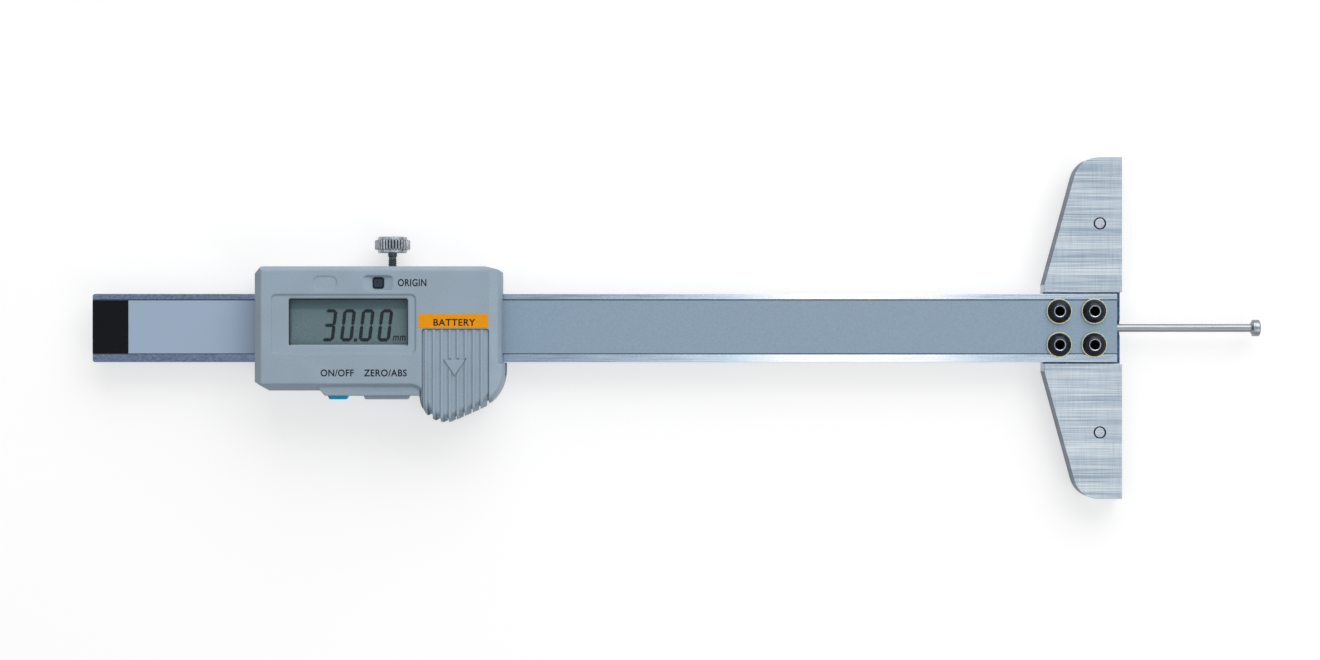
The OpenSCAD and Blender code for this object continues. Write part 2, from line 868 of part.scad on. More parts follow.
// Plan of the lobe, its sides moved in by inset
function lobe_plan(inset) =
  let (l = lobe_left + inset, r = lobe_right - inset, up = inset / cos(lobe_slant))
  outline([
    [l, lobe_top, 0], [l, slant_y(l) + up, left_r - inset],
    [r, slant_y(r) + up, right_r - inset], [r, lobe_top, 0]
  ]);

// The lobe with a rounded rim, up to a height and with its sides moved in by inset. Its straight
// sides lie a hair inside the round corners and reach into them, so that they join without a crack
module lobe_shape(z0, top, inset) {
  side = concat(
    [[0, z0]],
    [for (i = [0:arc_steps]) let (a = 90 * i / arc_steps) [rim_w * (1 - cos(a)), top - rim_h * (1 - sin(a))]],
    [[2 * rim_w, top], [2 * rim_w, z0]]
  );
  step = right_centre - left_centre;
  along_z(z0, top) polygon(lobe_plan(inset + 1.5 * rim_w));
  for (c = [
    [left_centre, left_r - inset, 180, 90 + lobe_slant],
    [right_centre, right_r - inset, lobe_slant - 90, 90 - lobe_slant]
  ]) {
    translate([c[0][0], c[0][1], 0]) rotate([0, 0, c[2]]) rotate_extrude(angle = c[3]) {
      polygon([for (p = side) [c[1] - p[0], p[1]]]);
    }
  }
  translate([left_centre[0], left_centre[1], 0]) rotate([0, 0, lobe_slant]) {
    translate([0, inset - left_r + seam_in, 0]) {
      along_x(-seam_lap, step * [cos(lobe_slant), sin(lobe_slant)] + seam_lap) polygon(side);
    }
  }
  along_y(left_centre[1] - seam_lap, lobe_top) {
    polygon([for (p = side) [lobe_left + inset + seam_in + p[0], p[1]]]);
  }
  along_y(right_centre[1] - seam_lap, lobe_top) {
    polygon([for (p = side) [lobe_right - inset - seam_in - p[0], p[1]]]);
  }
}

// The lobe under the near end's slope
module lobe(z0) {
  fall = near_slope_h / (near_slope - near_step);
  reach = lobe_right + over;
  intersection() {
    lobe_shape(z0, case_top, 0);
    along_y(lobe_foot - left_r, 0) polygon([
      [-case_l, z0], [reach, z0], [reach, case_top - fall * (near_slope + reach)],
      [-near_slope, case_top], [-case_l, case_top]
    ]);
  }
}

// Slabs that leave only the ribs of what they meet
module rib_slabs(z0, z1) {
  for (k = [0:rib_count - 1]) {
    x = door_x + rib_shift + (k - (rib_count - 1) / 2) * rib_pitch;
    block([x - rib_w / 2, lobe_foot - left_r, z0], [x + rib_w / 2, door_y1, z1]);
  }
}

// The lobe's wall below the door, where the ribs run on
module between_ribs(z0, z1) {
  difference() {
    block([door_x - door_w / 2, lobe_foot - left_r, z0], [door_x + door_w / 2, battery_y, z1]);
    along_z(z0 - over, z1 + over) polygon(lobe_plan(rib_depth));
    rib_slabs(z0 - over, z1 + over);
  }
}

module ledge(z0) {
  along_z(z0, ledge_top) polygon([
    [ledge_x0, case_y0 + wall], [ledge_x0 + ledge_slope, ledge_y],
    [door_x, ledge_y], [door_x, case_y0 + wall]
  ]);
}

module case_body(z0) {
  intersection() {
    along_z(z0, case_top) polygon(case_plan(0, 0));
    along_x(-case_l, 0) side_profile(z0);
    along_y(case_y0, case_y1) end_profile(z0);
  }
  lobe(z0);
  lobe_fillet(z0);
  ledge(z0);
}

// Hollow fillet where the lower side runs into the lobe, with the side's own bevel on it
module lobe_fillet(z0) {
  cy = case_y0 - fillet_r;
  reach = left_r + fillet_r;
  cx = left_centre[0] - sqrt(reach * reach - pow(left_centre[1] - cy, 2));
  start = atan2(left_centre[1] - cy, left_centre[0] - cx);
  depth = 1.8 * bottom_bevel;
  translate([cx, cy, 0]) rotate([0, 0, start]) rotate_extrude(angle = 90 - start) polygon([
    [fillet_r, z0], [fillet_r, case_top - bottom_bevel_h], [fillet_r + bottom_bevel, case_top],
    [fillet_r + depth, case_top], [fillet_r + depth, z0]
  ]);
}

// Where frame and beam pass through the case's ends
module end_openings(z0, z1) {
  block([-case_l - over, jaw_out - end_play, z0], [over, wall_out + end_play, z1]);
}

// Room for the door: its plate, its end wall and its two tongues
module door_room() {
  half = door_w / 2 + fit;
  top = case_top + over;
  low = lobe_foot - left_r;
  along_z(door_inner - fit, top) {
    round_rect(door_x - half, door_x + half, low, door_y1 + fit, over);
  }
  block(
    [door_x - half - tongue_w, low, door_inner - fit],
    [door_x + half + tongue_w, door_y1 + fit, door_inner + tongue_t + fit]
  );
  difference() {
    block([door_x - half, low, door_bottom - fit], [door_x + half, lobe_y, top]);
    translate([door_x, lobe_y, 0]) rod_z(door_bottom - 2 * fit, top + over, 2 * (room_r - fit));
  }
}

// The round room inside the lobe, from the board's level up
module lobe_room() {
  intersection() {
    translate([door_x, lobe_y, 0]) rod_z(board_top, inner_top, 2 * room_r);
    block([-case_l, lobe_foot - left_r, board_top], [0, key_in + over, inner_top]);
  }
}

// Slots for the two side keys
module key_slots() {
  for (key = [[power_x, power_w], [zero_x, zero_w]]) {
    half = key[1] / 2 + key_gap;
    block(
      [key[0] - half, ledge_y - over, key_z - key_h / 2 - key_gap],
      [key[0] + half, ledge_y + wall + over, key_z + key_h / 2 + key_gap]
    );
  }
}

module origin_scoop() {
  translate([origin_x, origin_y, 0]) {
    intersection() {
      translate([0, 0, case_top - scoop_d + scoop_r]) rod_y(-scoop_w, scoop_w, 2 * scoop_r);
      along_z(case_top - 2 * scoop_d, case_top + over) {
        round_rect(-scoop_l / 2, scoop_l / 2, -scoop_w / 2, scoop_w / 2, scoop_w / 3);
      }
    }
    half = origin_w / 2 + origin_gap;
    along_z(inner_top - over, case_top + over) round_rect(-half, half, -half, half, origin_gap * 2);
  }
}

module window_opening() {
  y0 = window_y - window_w / 2;
  y1 = window_y + window_w / 2;
  along_z(inner_top - over, case_top + over) round_rect(window_x0, window_x1, y0, y1, window_r);
  along_z(case_top - bezel_d, case_top + over) {
    round_rect(bezel_x0, bezel_x1, display_y - bezel_w / 2, display_y + bezel_w / 2, bezel_r);
  }
}

module oval_recess() {
  translate([oval_x, origin_y, 0]) along_z(case_top - oval_d, case_top + over) {
    round_rect(-oval_l / 2, oval_l / 2, -oval_w / 2, oval_w / 2, oval_w / 2.2);
  }
}

// Holes along the parting line for the clamp screw and the gib screws
module upper_holes() {
  translate([0, 0, beam_mid]) {
    translate([clamp_x, 0, 0]) rod_y(wall_out, case_y1 + over, clamp_d + 2 * clamp_hole_gap);
    for (x = gib_screw_x) {
      translate([x, 0, 0]) rod_y(wall_out, case_y1 + over, gib_screw_d + clamp_hole_gap);
    }
  }
}

// Straight walls beside the cell, and the rails that carry the door's tongues
module cell_walls() {
  inner = battery_d / 2 + cell_room;
  low = lobe_y - room_r;
  for (side = [-1, 1]) {
    x = door_x + side * (inner + cell_wall_t / 2);
    block(
      [x - cell_wall_t / 2, low, board_top],
      [x + cell_wall_t / 2, battery_y + cell_wall_y1, door_inner - fit]
    );
    rail_x = door_x + side * (door_w / 2 + fit + rail_w / 2);
    block(
      [rail_x - rail_w / 2, key_in, inner_top - rail_h],
      [rail_x + rail_w / 2, door_y1, inner_top]
    );
  }
}

module case_posts() {
  for (x = case_screw_x, y = case_screw_y) {
    translate([x, y, 0]) rod_z(frame_top, inner_top, post_d);
  }
}

// Room inside the ledge, for the side keys' flanges
module ledge_room() {
  block(
    [ledge_x0 + wall - key_gap, ledge_y + wall, key_z - key_h / 2 - 2 * key_gap],
    [cell_wall_x - 2 * key_gap, key_in + over, key_z + key_h / 2 + 2 * key_gap]
  );
}

module front_case() {
  color("#93a2b0") on_slider() difference() {
    union() {
      difference() {
        case_body(beam_mid);
        along_z(beam_mid - over, inner_top) polygon(case_plan(wall, wall));
        lobe_room();
        ledge_room();
        end_openings(beam_mid - over, frame_top + fit);
      }
      cell_walls();
      case_posts();
    }
    upper_holes();
    key_slots();
    origin_scoop();
    window_opening();
    oval_recess();
    door_room();
    between_ribs(beam_mid - over, door_bottom - fit);
    for (x = case_screw_x, y = case_screw_y) {
      translate([x, y, 0]) rod_z(frame_top - over, frame_back + case_screw_l, case_screw_d);
    }
  }
}

// The back shell, a tray that closes the case behind the frame
module rear_case() {
  color("#8b9aa8") on_slider() difference() {
    union() {
      along_z(base_bottom, beam_mid) polygon(case_plan(rear_inset, rear_near_inset));
      difference() {
        along_z(base_bottom, beam_mid) polygon(lobe_plan(0));
        between_ribs(base_bottom - over, beam_mid + over);
      }
      along_z(base_bottom, beam_mid) polygon([
        [ledge_x0, case_y0 + wall], [ledge_x0 + ledge_slope, ledge_y + rear_inset],
        [door_x, ledge_y + rear_inset], [door_x, case_y0 + wall]
      ]);
    }
    end_openings(frame_back, beam_mid + over);
    upper_holes();
    for (x = case_screw_x, y = case_screw_y) {
      translate([x, y, 0]) {
        rod_z(base_bottom - over, beam_mid, case_screw_d + fit);
        rod_z(base_bottom - over, base_bottom + case_head_sink + case_head_h, case_head_d + 2 * fit);
      }
    }
  }
}

module case_screws() {
  color("dimgray") on_slider() for (x = case_screw_x, y = case_screw_y) {
    translate([x, y, base_bottom + case_head_sink + case_head_h]) {
      mirror([0, 0, 1]) pan_screw(case_screw_d, case_screw_l, case_head_d, case_head_h);
    }
  }
}

module origin_switch() {
  half = origin_switch_w / 2;
  color("#303438") on_slider() translate([origin_x, origin_y, board_top]) {
    block([-half, -half, 0], [half, half, origin_switch_h]);
  }
}

module side_switches() {
  color("#303438") on_slider() for (x = [power_x, zero_x]) {
    translate([x, board_y0, 0]) {
      block(
        [-side_switch_w / 2, 0, board_top],
        [side_switch_w / 2, side_switch_t, board_top + side_switch_h]
      );
      block(
        [-plunger_w / 2, -plunger_t, key_z - plunger_w / 2],
        [plunger_w / 2, over, key_z + plunger_w / 2]
      );
    }
  }
}

module battery() {
  step = 0.6;
  color("silver") on_slider() translate([door_x, battery_y, battery_z]) {
    rod_z(0, cell_step_h, battery_d - 2 * step);
    rod_z(cell_step_h, battery_h, battery_d);
  }
}

// A spring leaf that stands on the board and presses on the cell's foot
module battery_contact_minus() {
  foot_y1 = battery_y + battery_d / 3;
  foot_y0 = board_y0 + contact_t;
  tip_y = foot_y0 + contact_t;
  rise = battery_z - board_top;
  color("khaki") on_slider() along_x(door_x - contact_w / 2, door_x + contact_w / 2) polygon([
    [foot_y1, board_top], [foot_y1, board_top + contact_t], [tip_y + 2 * contact_t, battery_z],
    [tip_y, battery_z], [foot_y0, board_top + rise / 2], [foot_y0, board_top]
  ]);
}

// A standing leaf that presses on the cell's side
module battery_contact_plus() {
  side_y = battery_y + battery_d / 2;
  foot_l = 1.6;
  top_z = battery_z + 0.7 * battery_h;
  mid_z = battery_z + 0.4 * battery_h;
  bow = 0.5;
  color("khaki") on_slider() along_x(door_x - contact_w / 2, door_x + contact_w / 2) polygon([
    [side_y + bow + foot_l, board_top], [side_y + bow + foot_l, board_top + contact_t],
    [side_y + bow + contact_t, board_top + contact_t], [side_y + contact_t, mid_z],
    [side_y + bow + contact_t, top_z], [side_y + bow, top_z], [side_y, mid_z],
    [side_y + bow, board_top]
  ]);
}

module battery_label() {
  color("orange") on_slider() translate([door_x + strip_label_shift, strip_label_y, case_top]) block(
    [-strip_label_l / 2, -strip_label_w / 2, 0],
    [strip_label_l / 2, strip_label_w / 2, strip_label_t]
  );
}

module rod_holder() {
  seat = frame_back + fit / 2;
  color("goldenrod") on_slider() translate([holder_block_x, 0, 0]) difference() {
    union() {
      block(
        [-holder_block_l / 2, -holder_block_w / 2, seat],
        [holder_block_l / 2, holder_block_w / 2, frame_back + holder_block_t]
      );
      block([-post_l / 2, -post_w / 2, seat], [post_l / 2, post_w / 2, post_top]);
    }
    rod_x(-post_l, post_l, rod_d);
    for (side = [-1, 1]) {
      translate([side * holder_screw_dx, 0, seat]) {
        rod_z(-over, holder_block_t + over, small_screw_d);
        mirror([0, 0, 1]) flat_head();
      }
    }
  }
}

module rod_holder_screws() {
  color("dimgray") on_slider() translate([holder_block_x, 0, frame_back + fit / 2]) {
    for (side = [-1, 1]) translate([side * holder_screw_dx, 0, 0]) {
      mirror([0, 0, 1]) flat_screw(small_screw_d, holder_screw_l - fit);
    }
  }
}

module measuring_rod() {
  color("gainsboro") rod_x(-case_gap + rod_end, rod_out - tip_t, rod_d);
}

module tip_disc() {
  neck_share = 0.58;
  color("lightsteelblue") translate([rod_out - tip_t, 0, 0]) rotate([0, 90, 0]) rotate_extrude() polygon([
    [0, 0], [tip_d * neck_share / 2, 0], [tip_d / 2, tip_cone_l], [tip_d / 2, tip_t - tip_chamfer],
    [tip_d / 2 - tip_chamfer, tip_t], [0, tip_t]
  ]);
}

module clamp_shoe() {
  color("goldenrod") on_slider() translate([clamp_x, 0, beam_mid]) {
    rod_y(gib_out + shoe_gap, gib_out + shoe_gap + shoe_t, shoe_d);
  }
}

// Knurled ring with straight ridges
module knurl() {
  r = knob_d / 2;
  rotate([90, 0, 0]) linear_extrude(knob_h - 2 * knob_step) polygon([
    for (i = [0:2 * knurl_count - 1]) let (a = 180 * i / knurl_count)
      (r - knurl_d * (i % 2)) * [cos(a), sin(a)]
  ]);
}

module clamp_screw() {
  color("silver") on_slider() translate([clamp_x, 0, beam_mid]) {
    rod_y(gib_out + 2 * shoe_gap + shoe_t, knob_y0 + knob_step, clamp_d);
    rod_y(knob_y0, knob_y0 + knob_h, knob_end_d);
    translate([0, knob_y0 + knob_h - knob_step, 0]) knurl();
  }
}

module door_arrow() {
  y1 = door_y1 - arrow_drop;
  along_z(case_top - arrow_t, case_top) polygon([
    [door_x + arrow_shift - arrow_w / 2, y1], [door_x + arrow_shift + arrow_w / 2, y1],
    [door_x + arrow_shift, y1 - arrow_h]
  ]);
}

// The lobe's end and the flat face above it, its sides moved in by inset
module door_skin(top, inset) {
  lobe_shape(door_bottom, top, inset);
  block([lobe_left, lobe_y, door_bottom], [lobe_right, door_y1, top]);
}

module battery_door() {
  half = door_w / 2;
  arrow_y = door_y1 - arrow_drop;
  color("#93a2b0") on_slider() difference() {
    union() {
      intersection() {
        along_z(door_bottom, case_top + over) {
          round_rect(door_x - half, door_x + half, lobe_foot - 2 * left_r, door_y1, over);
        }
        union() {
          door_skin(case_top - rib_rise, rib_depth);
          difference() {
            intersection() {
              door_skin(case_top, 0);
              rib_slabs(door_bottom, case_top + over);
            }
            block(
              [door_x - arrow_w / 2, arrow_y, case_top - rib_rise],
              [door_x + arrow_w / 2, arrow_y + rib_notch, case_top + over]
            );
          }
        }
      }
      door_arrow();
      block(
        [door_x - half - tongue_w + fit, lobe_y - battery_d / 2, door_inner],
        [door_x + half + tongue_w - fit, door_y1 - tongue_w, door_inner + tongue_t]
      );
    }
    translate([door_x, lobe_y, 0]) rod_z(door_bottom - over, door_inner, 2 * room_r);
    block(
      [door_x - half - over, lobe_y, door_bottom - over],
      [door_x + half + over, door_y1 + over, door_inner]
    );
  }
}

module origin_button() {
  flange = origin_w / 2 + origin_flange;
  foot = board_top + origin_switch_h + origin_travel + fit / 2;
  color("#1d2633") on_slider() translate([origin_x, origin_y, 0]) {
    along_z(foot, case_top - origin_sink) {
      round_rect(-origin_w / 2, origin_w / 2, -origin_w / 2, origin_w / 2, origin_w / 5);
    }
    block(
      [-flange, -origin_w / 2 - origin_flange / 2, inner_top - fit / 2 - origin_flange_t],
      [flange, origin_w / 2 + origin_flange / 2, inner_top - fit / 2]
    );
  }
}

module side_key(x, w) {
  y0 = ledge_y - side_out;
  flange_y = ledge_y + wall + fit / 2;
  foot = board_y0 - plunger_t - side_travel - fit / 2;
  translate([x, 0, 0]) {
    along_z(key_z - key_h / 2, key_z + key_h / 2) polygon([
      [-w / 2 + key_taper, y0], [w / 2 - key_taper, y0], [w / 2, ledge_y],
      [w / 2, foot], [-w / 2, foot], [-w / 2, ledge_y]
    ]);
    block(
      [-w / 2 - key_flange, flange_y, key_z - key_h / 2 - key_gap],
      [w / 2 + key_flange, flange_y + key_flange_t, key_z + key_h / 2 + key_gap]
    );
  }
}

module on_off_button() { color("#1795c0") on_slider() side_key(power_x, power_w); }

module zero_button() { color("#8d9aa6") on_slider() side_key(zero_x, zero_w); }

main_beam();
scale_strip();
scale_film();
end_label();
measuring_base();
base_screws();
base_washers();
wing_pins();
end_stop();
end_stop_screws();
slider_frame();
gib_strip();
gib_screws();
reading_head();
circuit_board();
board_screws();
processor_chip();
crystal();
zebra_strips();
lcd_holder();
lcd_glass();
lcd_window();
front_case();
rear_case();
case_screws();
origin_switch();
side_switches();
battery();
battery_contact_plus();
battery_contact_minus();
battery_label();
rod_holder();
rod_holder_screws();
measuring_rod();
tip_disc();
clamp_shoe();
clamp_screw();
battery_door();
origin_button();
on_off_button();
zero_button();
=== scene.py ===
# %% [markdown]
# # A digital depth gauge, dressed for the camera
#
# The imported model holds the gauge's pieces at their real size. This lesson gives them their looks:
# softened edges, turned and knurled screws, a display with its digits, printed words, and a
# procedural material for every piece. All lengths are metres in the file, so a value in
# millimetres is multiplied by MM.

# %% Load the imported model
import json
import math

import bmesh
import bpy
from mathutils import Matrix, Vector

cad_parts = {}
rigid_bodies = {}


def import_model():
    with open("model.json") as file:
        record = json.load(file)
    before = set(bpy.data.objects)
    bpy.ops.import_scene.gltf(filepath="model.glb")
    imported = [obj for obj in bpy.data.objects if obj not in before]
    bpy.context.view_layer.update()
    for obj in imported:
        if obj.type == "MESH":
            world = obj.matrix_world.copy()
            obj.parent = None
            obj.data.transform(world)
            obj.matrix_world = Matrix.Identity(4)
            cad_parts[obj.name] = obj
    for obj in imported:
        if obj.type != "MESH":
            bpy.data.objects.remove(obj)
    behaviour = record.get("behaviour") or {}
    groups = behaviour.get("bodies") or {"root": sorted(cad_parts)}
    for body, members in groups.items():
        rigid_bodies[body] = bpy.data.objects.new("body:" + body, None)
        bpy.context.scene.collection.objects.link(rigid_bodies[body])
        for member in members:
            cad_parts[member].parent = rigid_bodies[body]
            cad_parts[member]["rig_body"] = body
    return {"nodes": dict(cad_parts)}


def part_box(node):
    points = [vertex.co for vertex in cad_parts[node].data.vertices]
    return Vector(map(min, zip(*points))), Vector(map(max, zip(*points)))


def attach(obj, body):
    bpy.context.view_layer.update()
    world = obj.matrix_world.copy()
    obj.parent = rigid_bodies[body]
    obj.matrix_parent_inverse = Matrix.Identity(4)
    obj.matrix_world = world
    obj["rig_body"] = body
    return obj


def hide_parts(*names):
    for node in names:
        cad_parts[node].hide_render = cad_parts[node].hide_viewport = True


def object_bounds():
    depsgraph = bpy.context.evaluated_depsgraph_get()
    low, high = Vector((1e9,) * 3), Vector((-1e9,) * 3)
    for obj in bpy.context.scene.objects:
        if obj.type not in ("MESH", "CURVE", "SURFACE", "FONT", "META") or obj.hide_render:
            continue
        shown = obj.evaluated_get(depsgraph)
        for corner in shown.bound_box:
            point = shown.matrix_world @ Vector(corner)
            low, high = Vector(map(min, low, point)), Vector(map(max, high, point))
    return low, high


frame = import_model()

MM = 0.001
cad_low, cad_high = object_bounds()
print("nodes:", len(frame["nodes"]))
print("size in mm:", [round(v / MM, 2) for v in cad_high - cad_low])

# %% [markdown]
# ## Tools for shaping
#
# Operators act on everything that is selected, so each helper first makes one piece the only one
# that is selected and active. Faces are then picked in code, by a test of their place or normal.


# %% Selecting one piece
def make_active(piece):
    """Leave edit mode, and make this piece the only selected one."""
    if bpy.context.mode != "OBJECT":
        bpy.ops.object.mode_set(mode="OBJECT")
    bpy.ops.object.select_all(action="DESELECT")
    piece.select_set(True)
    bpy.context.view_layer.objects.active = piece
    return piece


def pick(piece, kind, test):
    """Go into edit mode with only those faces, edges or vertices selected that pass the test."""
    make_active(piece)
    bpy.ops.object.mode_set(mode="EDIT")
    bpy.ops.mesh.select_mode(type=kind)
    bpy.ops.mesh.select_all(action="DESELECT")
    shape = bmesh.from_edit_mesh(piece.data)
    for item in {"VERT": shape.verts, "EDGE": shape.edges, "FACE": shape.faces}[kind]:
        item.select_set(test(item))
    shape.select_flush_mode()
    bmesh.update_edit_mesh(piece.data)


print("selected now:", len(bpy.context.selected_objects), "objects")

# %% [markdown]
# A new primitive is named at once. Its place is written into its mesh, so that every object stays
# at the origin, where the patterns of the materials are measured from.


# %% Naming, placing and joining
def newest(name):
    """Name the primitive that was just added, and return it."""
    piece = make_active(bpy.context.object)
    piece.name = name
    piece.data.name = name
    return piece


def settle(piece, *moves):
    """Put a piece in its place by changing its mesh, so that its object stays at the origin."""
    make_active(piece)
    bpy.ops.object.transform_apply(location=True, rotation=True, scale=True)
    for move in moves:
        piece.data.transform(move)
    piece.data.update()
    return piece


def joined(name, parts):
    """Join several pieces into one."""
    make_active(parts[0])
    for part in parts[1:]:
        part.select_set(True)
    if len(parts) > 1:
        bpy.ops.object.join()
    return newest(name)


print("pieces can be named, placed and joined")

# %% [markdown]
# Real edges are never knife-sharp, and a small rounding is what catches the light on them. A bevel
# modifier makes it, and weighted normals keep the flat faces between the edges looking flat.


# %% Finishing edges
def finish_edges(piece, width, steps=2, angle=25, smooth=40):
    """Round the sharp edges by width millimetres, and shade the piece so that flat faces stay flat."""
    make_active(piece)
    if width:
        bevel = piece.modifiers.new("edges", "BEVEL")
        bevel.width = width * MM
        bevel.segments = steps
        bevel.limit_method = "ANGLE"
        bevel.angle_limit = math.radians(angle)
        bevel.use_clamp_overlap = False
        bpy.ops.object.modifier_apply(modifier=bevel.name)
    bpy.ops.object.shade_smooth_by_angle(angle=math.radians(smooth))
    weights = piece.modifiers.new("flat faces", "WEIGHTED_NORMAL")
    weights.keep_sharp = True
    bpy.ops.object.modifier_apply(modifier=weights.name)
    return piece


print("edges can be rounded")

# %% [markdown]
# A part cut on a lathe is a row of steps along its axis, each with a length and a radius. It
# starts as a disc, whose end face is extruded and resized step by step, as the tool would cut it.
# The same helper makes the screws, the probe's tip and the knurled head.


# %% Turning a part
def turned(name, sides, steps):
    """A closed part along +Z. The first step is its foot as (height, radius), and the rest follow it."""
    height, radius = steps[0]
    bpy.ops.mesh.primitive_circle_add(
        vertices=sides, radius=radius * MM, fill_type="NGON", location=(0, 0, height * MM)
    )
    piece = newest(name)
    settle(piece)
    pick(piece, "FACE", lambda face: True)
    for next_height, next_radius in steps[1:]:
        bpy.ops.mesh.extrude_region_move(
            TRANSFORM_OT_translate={"value": (0, 0, (next_height - height) * MM)}
        )
        share = next_radius / radius
        bpy.ops.transform.resize(value=(share, share, 1), center_override=(0, 0, 0))
        height, radius = next_height, next_radius
    bpy.ops.object.mode_set(mode="OBJECT")
    return turn_outwards(piece)


def turn_outwards(piece):
    """Merge doubles, and make every face point out of the solid."""
    pick(piece, "FACE", lambda face: True)
    bpy.ops.mesh.remove_doubles(threshold=0.0005 * MM)
    bpy.ops.mesh.select_all(action="SELECT")
    bpy.ops.mesh.normals_make_consistent(inside=False)
    bpy.ops.object.mode_set(mode="OBJECT")
    return piece


AXES = {"Z": Matrix(), "X": Matrix.Rotation(math.radians(90), 4, "Y"),
        "Y": Matrix.Rotation(math.radians(-90), 4, "X")}


def cut(piece, cutter):
    """Take the cutter's shape out of the piece."""
    make_active(piece)
    boolean = piece.modifiers.new("cut", "BOOLEAN")
    boolean.operation = "DIFFERENCE"
    boolean.solver = "EXACT"
    boolean.object = cutter
    bpy.ops.object.modifier_apply(modifier=boolean.name)
    bpy.data.objects.remove(cutter)
    return piece


print("a part can be turned, laid along", ", ".join(AXES), "and cut")

# %% [markdown]
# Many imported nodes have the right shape, and only their edges are knife-sharp, which no moulded
# or ground part has. Such a node is copied, its loose triangles are merged, flat faces are
# dissolved into whole ones, and a bevel rounds the edges. The copy then stands for the node.


# %% Copying a node with soft edges
def merged(node):
    """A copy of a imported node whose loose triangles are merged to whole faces. It stands for the node."""
    source = frame["nodes"][node]
    piece = bpy.data.objects.new(node + "_finished", source.data.copy())
    bpy.context.scene.collection.objects.link(piece)
    piece.data.materials.clear()
    pick(piece, "VERT", lambda vertex: True)
    bpy.ops.mesh.remove_doubles(threshold=0.008 * MM)
    bpy.ops.mesh.dissolve_limited(angle_limit=math.radians(0.3))
    bpy.ops.object.mode_set(mode="OBJECT")
    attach(piece, source["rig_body"])
    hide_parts(node)
    return piece


def softened(node, width, steps=2, angle=25, smooth=40):
    """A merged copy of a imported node, with its sharp edges rounded by width millimetres."""
    return finish_edges(merged(node), width, steps, angle, smooth)


print("a node's edges can now be softened")

# %% [markdown]
# ## Tools for finishes
#
# Colours are written as sRGB hex values and turned to the linear values that shaders use. One
# helper adds a node with its settings and links.


# %% Colours and nodes
def linear(code):
    """An sRGB hex colour as the linear colour that shaders work in."""
    parts = [int(code[i : i + 2], 16) / 255 for i in (1, 3, 5)]
    return [p / 12.92 if p <= 0.04045 else ((p + 0.055) / 1.055) ** 2.4 for p in parts] + [1.0]


def add(tree, kind, sockets=(), **settings):
    """Add a shader node. A socket gets a plain value, or a link from another node's output."""
    node = tree.nodes.new("ShaderNode" + kind)
    for name, value in settings.items():
        setattr(node, name, value)
    for socket, value in dict(sockets).items():
        if isinstance(value, bpy.types.NodeSocket):
            tree.links.new(value, node.inputs[socket])
        else:
            node.inputs[socket].default_value = value
    return node


def blank(name):
    """A new material with an empty tree."""
    material = bpy.data.materials.new(name)
    material.use_nodes = True
    material.node_tree.nodes.clear()
    return material, material.node_tree


print("a mid grey is", [round(c, 3) for c in linear("#808080")])

# %% [markdown]
# Patterns read Object coordinates, which are metres on the real gauge, so their sizes are given in
# millimetres. A noise that is stretched along one axis looks like the marks of a tool.


# %% Patterns and surfaces
def specks(tree, size, detail=2.0, shift=0.0):
    """A value from 0 to 1 in soft spots that are size millimetres long in X, Y and Z."""
    place = add(tree, "TexCoord").outputs["Object"]
    scale = [1 / (s * MM) for s in size]
    scaled = add(tree, "Mapping", {"Vector": place, "Scale": scale, "Location": [shift] * 3})
    return add(tree, "TexNoise", {"Vector": scaled.outputs[0], "Scale": 1.0, "Detail": detail}).outputs[0]


def level(tree, value, low, high, start=0.35, end=0.65):
    """A number that runs from low to high as the value runs from start to end."""
    sockets = {"Value": value, "From Min": start, "From Max": end, "To Min": low, "To Max": high}
    return add(tree, "MapRange", sockets).outputs[0]


def shade(tree, value, dark, light, start=0.35, end=0.65):
    """A colour that runs from dark to light as the value runs from start to end. Both may be links."""
    share = level(tree, value, 0.0, 1.0, start, end)
    ends = [c if isinstance(c, bpy.types.NodeSocket) else linear(c) for c in (dark, light)]
    return add(tree, "Mix", {0: share, 6: ends[0], 7: ends[1]}, data_type="RGBA").outputs[2]


def surface(tree, sockets, height, depth, soft=0.0):
    """A Principled surface with a relief of depth millimetres, its edges softened over soft millimetres."""
    relief = add(tree, "Bump", {"Height": height, "Distance": depth * MM})
    if soft:
        rounded = add(tree, "Bevel", {"Radius": soft * MM}, samples=6)
        tree.links.new(rounded.outputs[0], relief.inputs["Normal"])
    shader = add(tree, "BsdfPrincipled", {**sockets, "Normal": relief.outputs[0]})
    add(tree, "OutputMaterial", {"Surface": shader.outputs[0]})


def dress(piece, *materials):
    """Give a piece its materials."""
    piece.data.materials.clear()
    for material in materials:
        piece.data.materials.append(material)
    return piece


print("patterns and surfaces are ready")

# %% [markdown]
# ## Camera, floor and light
#
# The photograph looks straight down on the gauge from about 0.7 m, so both ends show a little of
# their sides. The picture is 1320 by 660 pixels.

# %% Camera
CAMERA_PLACE = (-0.10828, -0.00047, 0.70275)
lens = bpy.data.cameras.new("camera")
lens.lens = 81.5
lens.sensor_width = 36.0
camera = bpy.data.objects.new("camera", lens)
camera.location = CAMERA_PLACE
bpy.context.scene.collection.objects.link(camera)
bpy.context.scene.camera = camera
print("camera stands", round(CAMERA_PLACE[2], 3), "m above the gauge")

# %% [markdown]
# A softbox stands behind the gauge and lights the upper edges, a second stands to the right, and a narrow
# one hangs above the middle. The rails mirror it, and a painted reflection in their colour gives the bright
# stretch left of the base.


# %% Softboxes
def softbox(name, place, aim, size, brightness):
    """An area lamp. Brightness 1 looks as bright as white paper."""
    lamp = bpy.data.lights.new(name, "AREA")
    lamp.shape = "RECTANGLE"
    lamp.size, lamp.size_y = size
    lamp.energy = brightness * math.pi * size[0] * size[1]
    light = bpy.data.objects.new(name, lamp)
    light.location = place
    light.rotation_euler = (Vector(aim) - Vector(place)).to_track_quat("-Z", "Y").to_euler()
    bpy.context.scene.collection.objects.link(light)


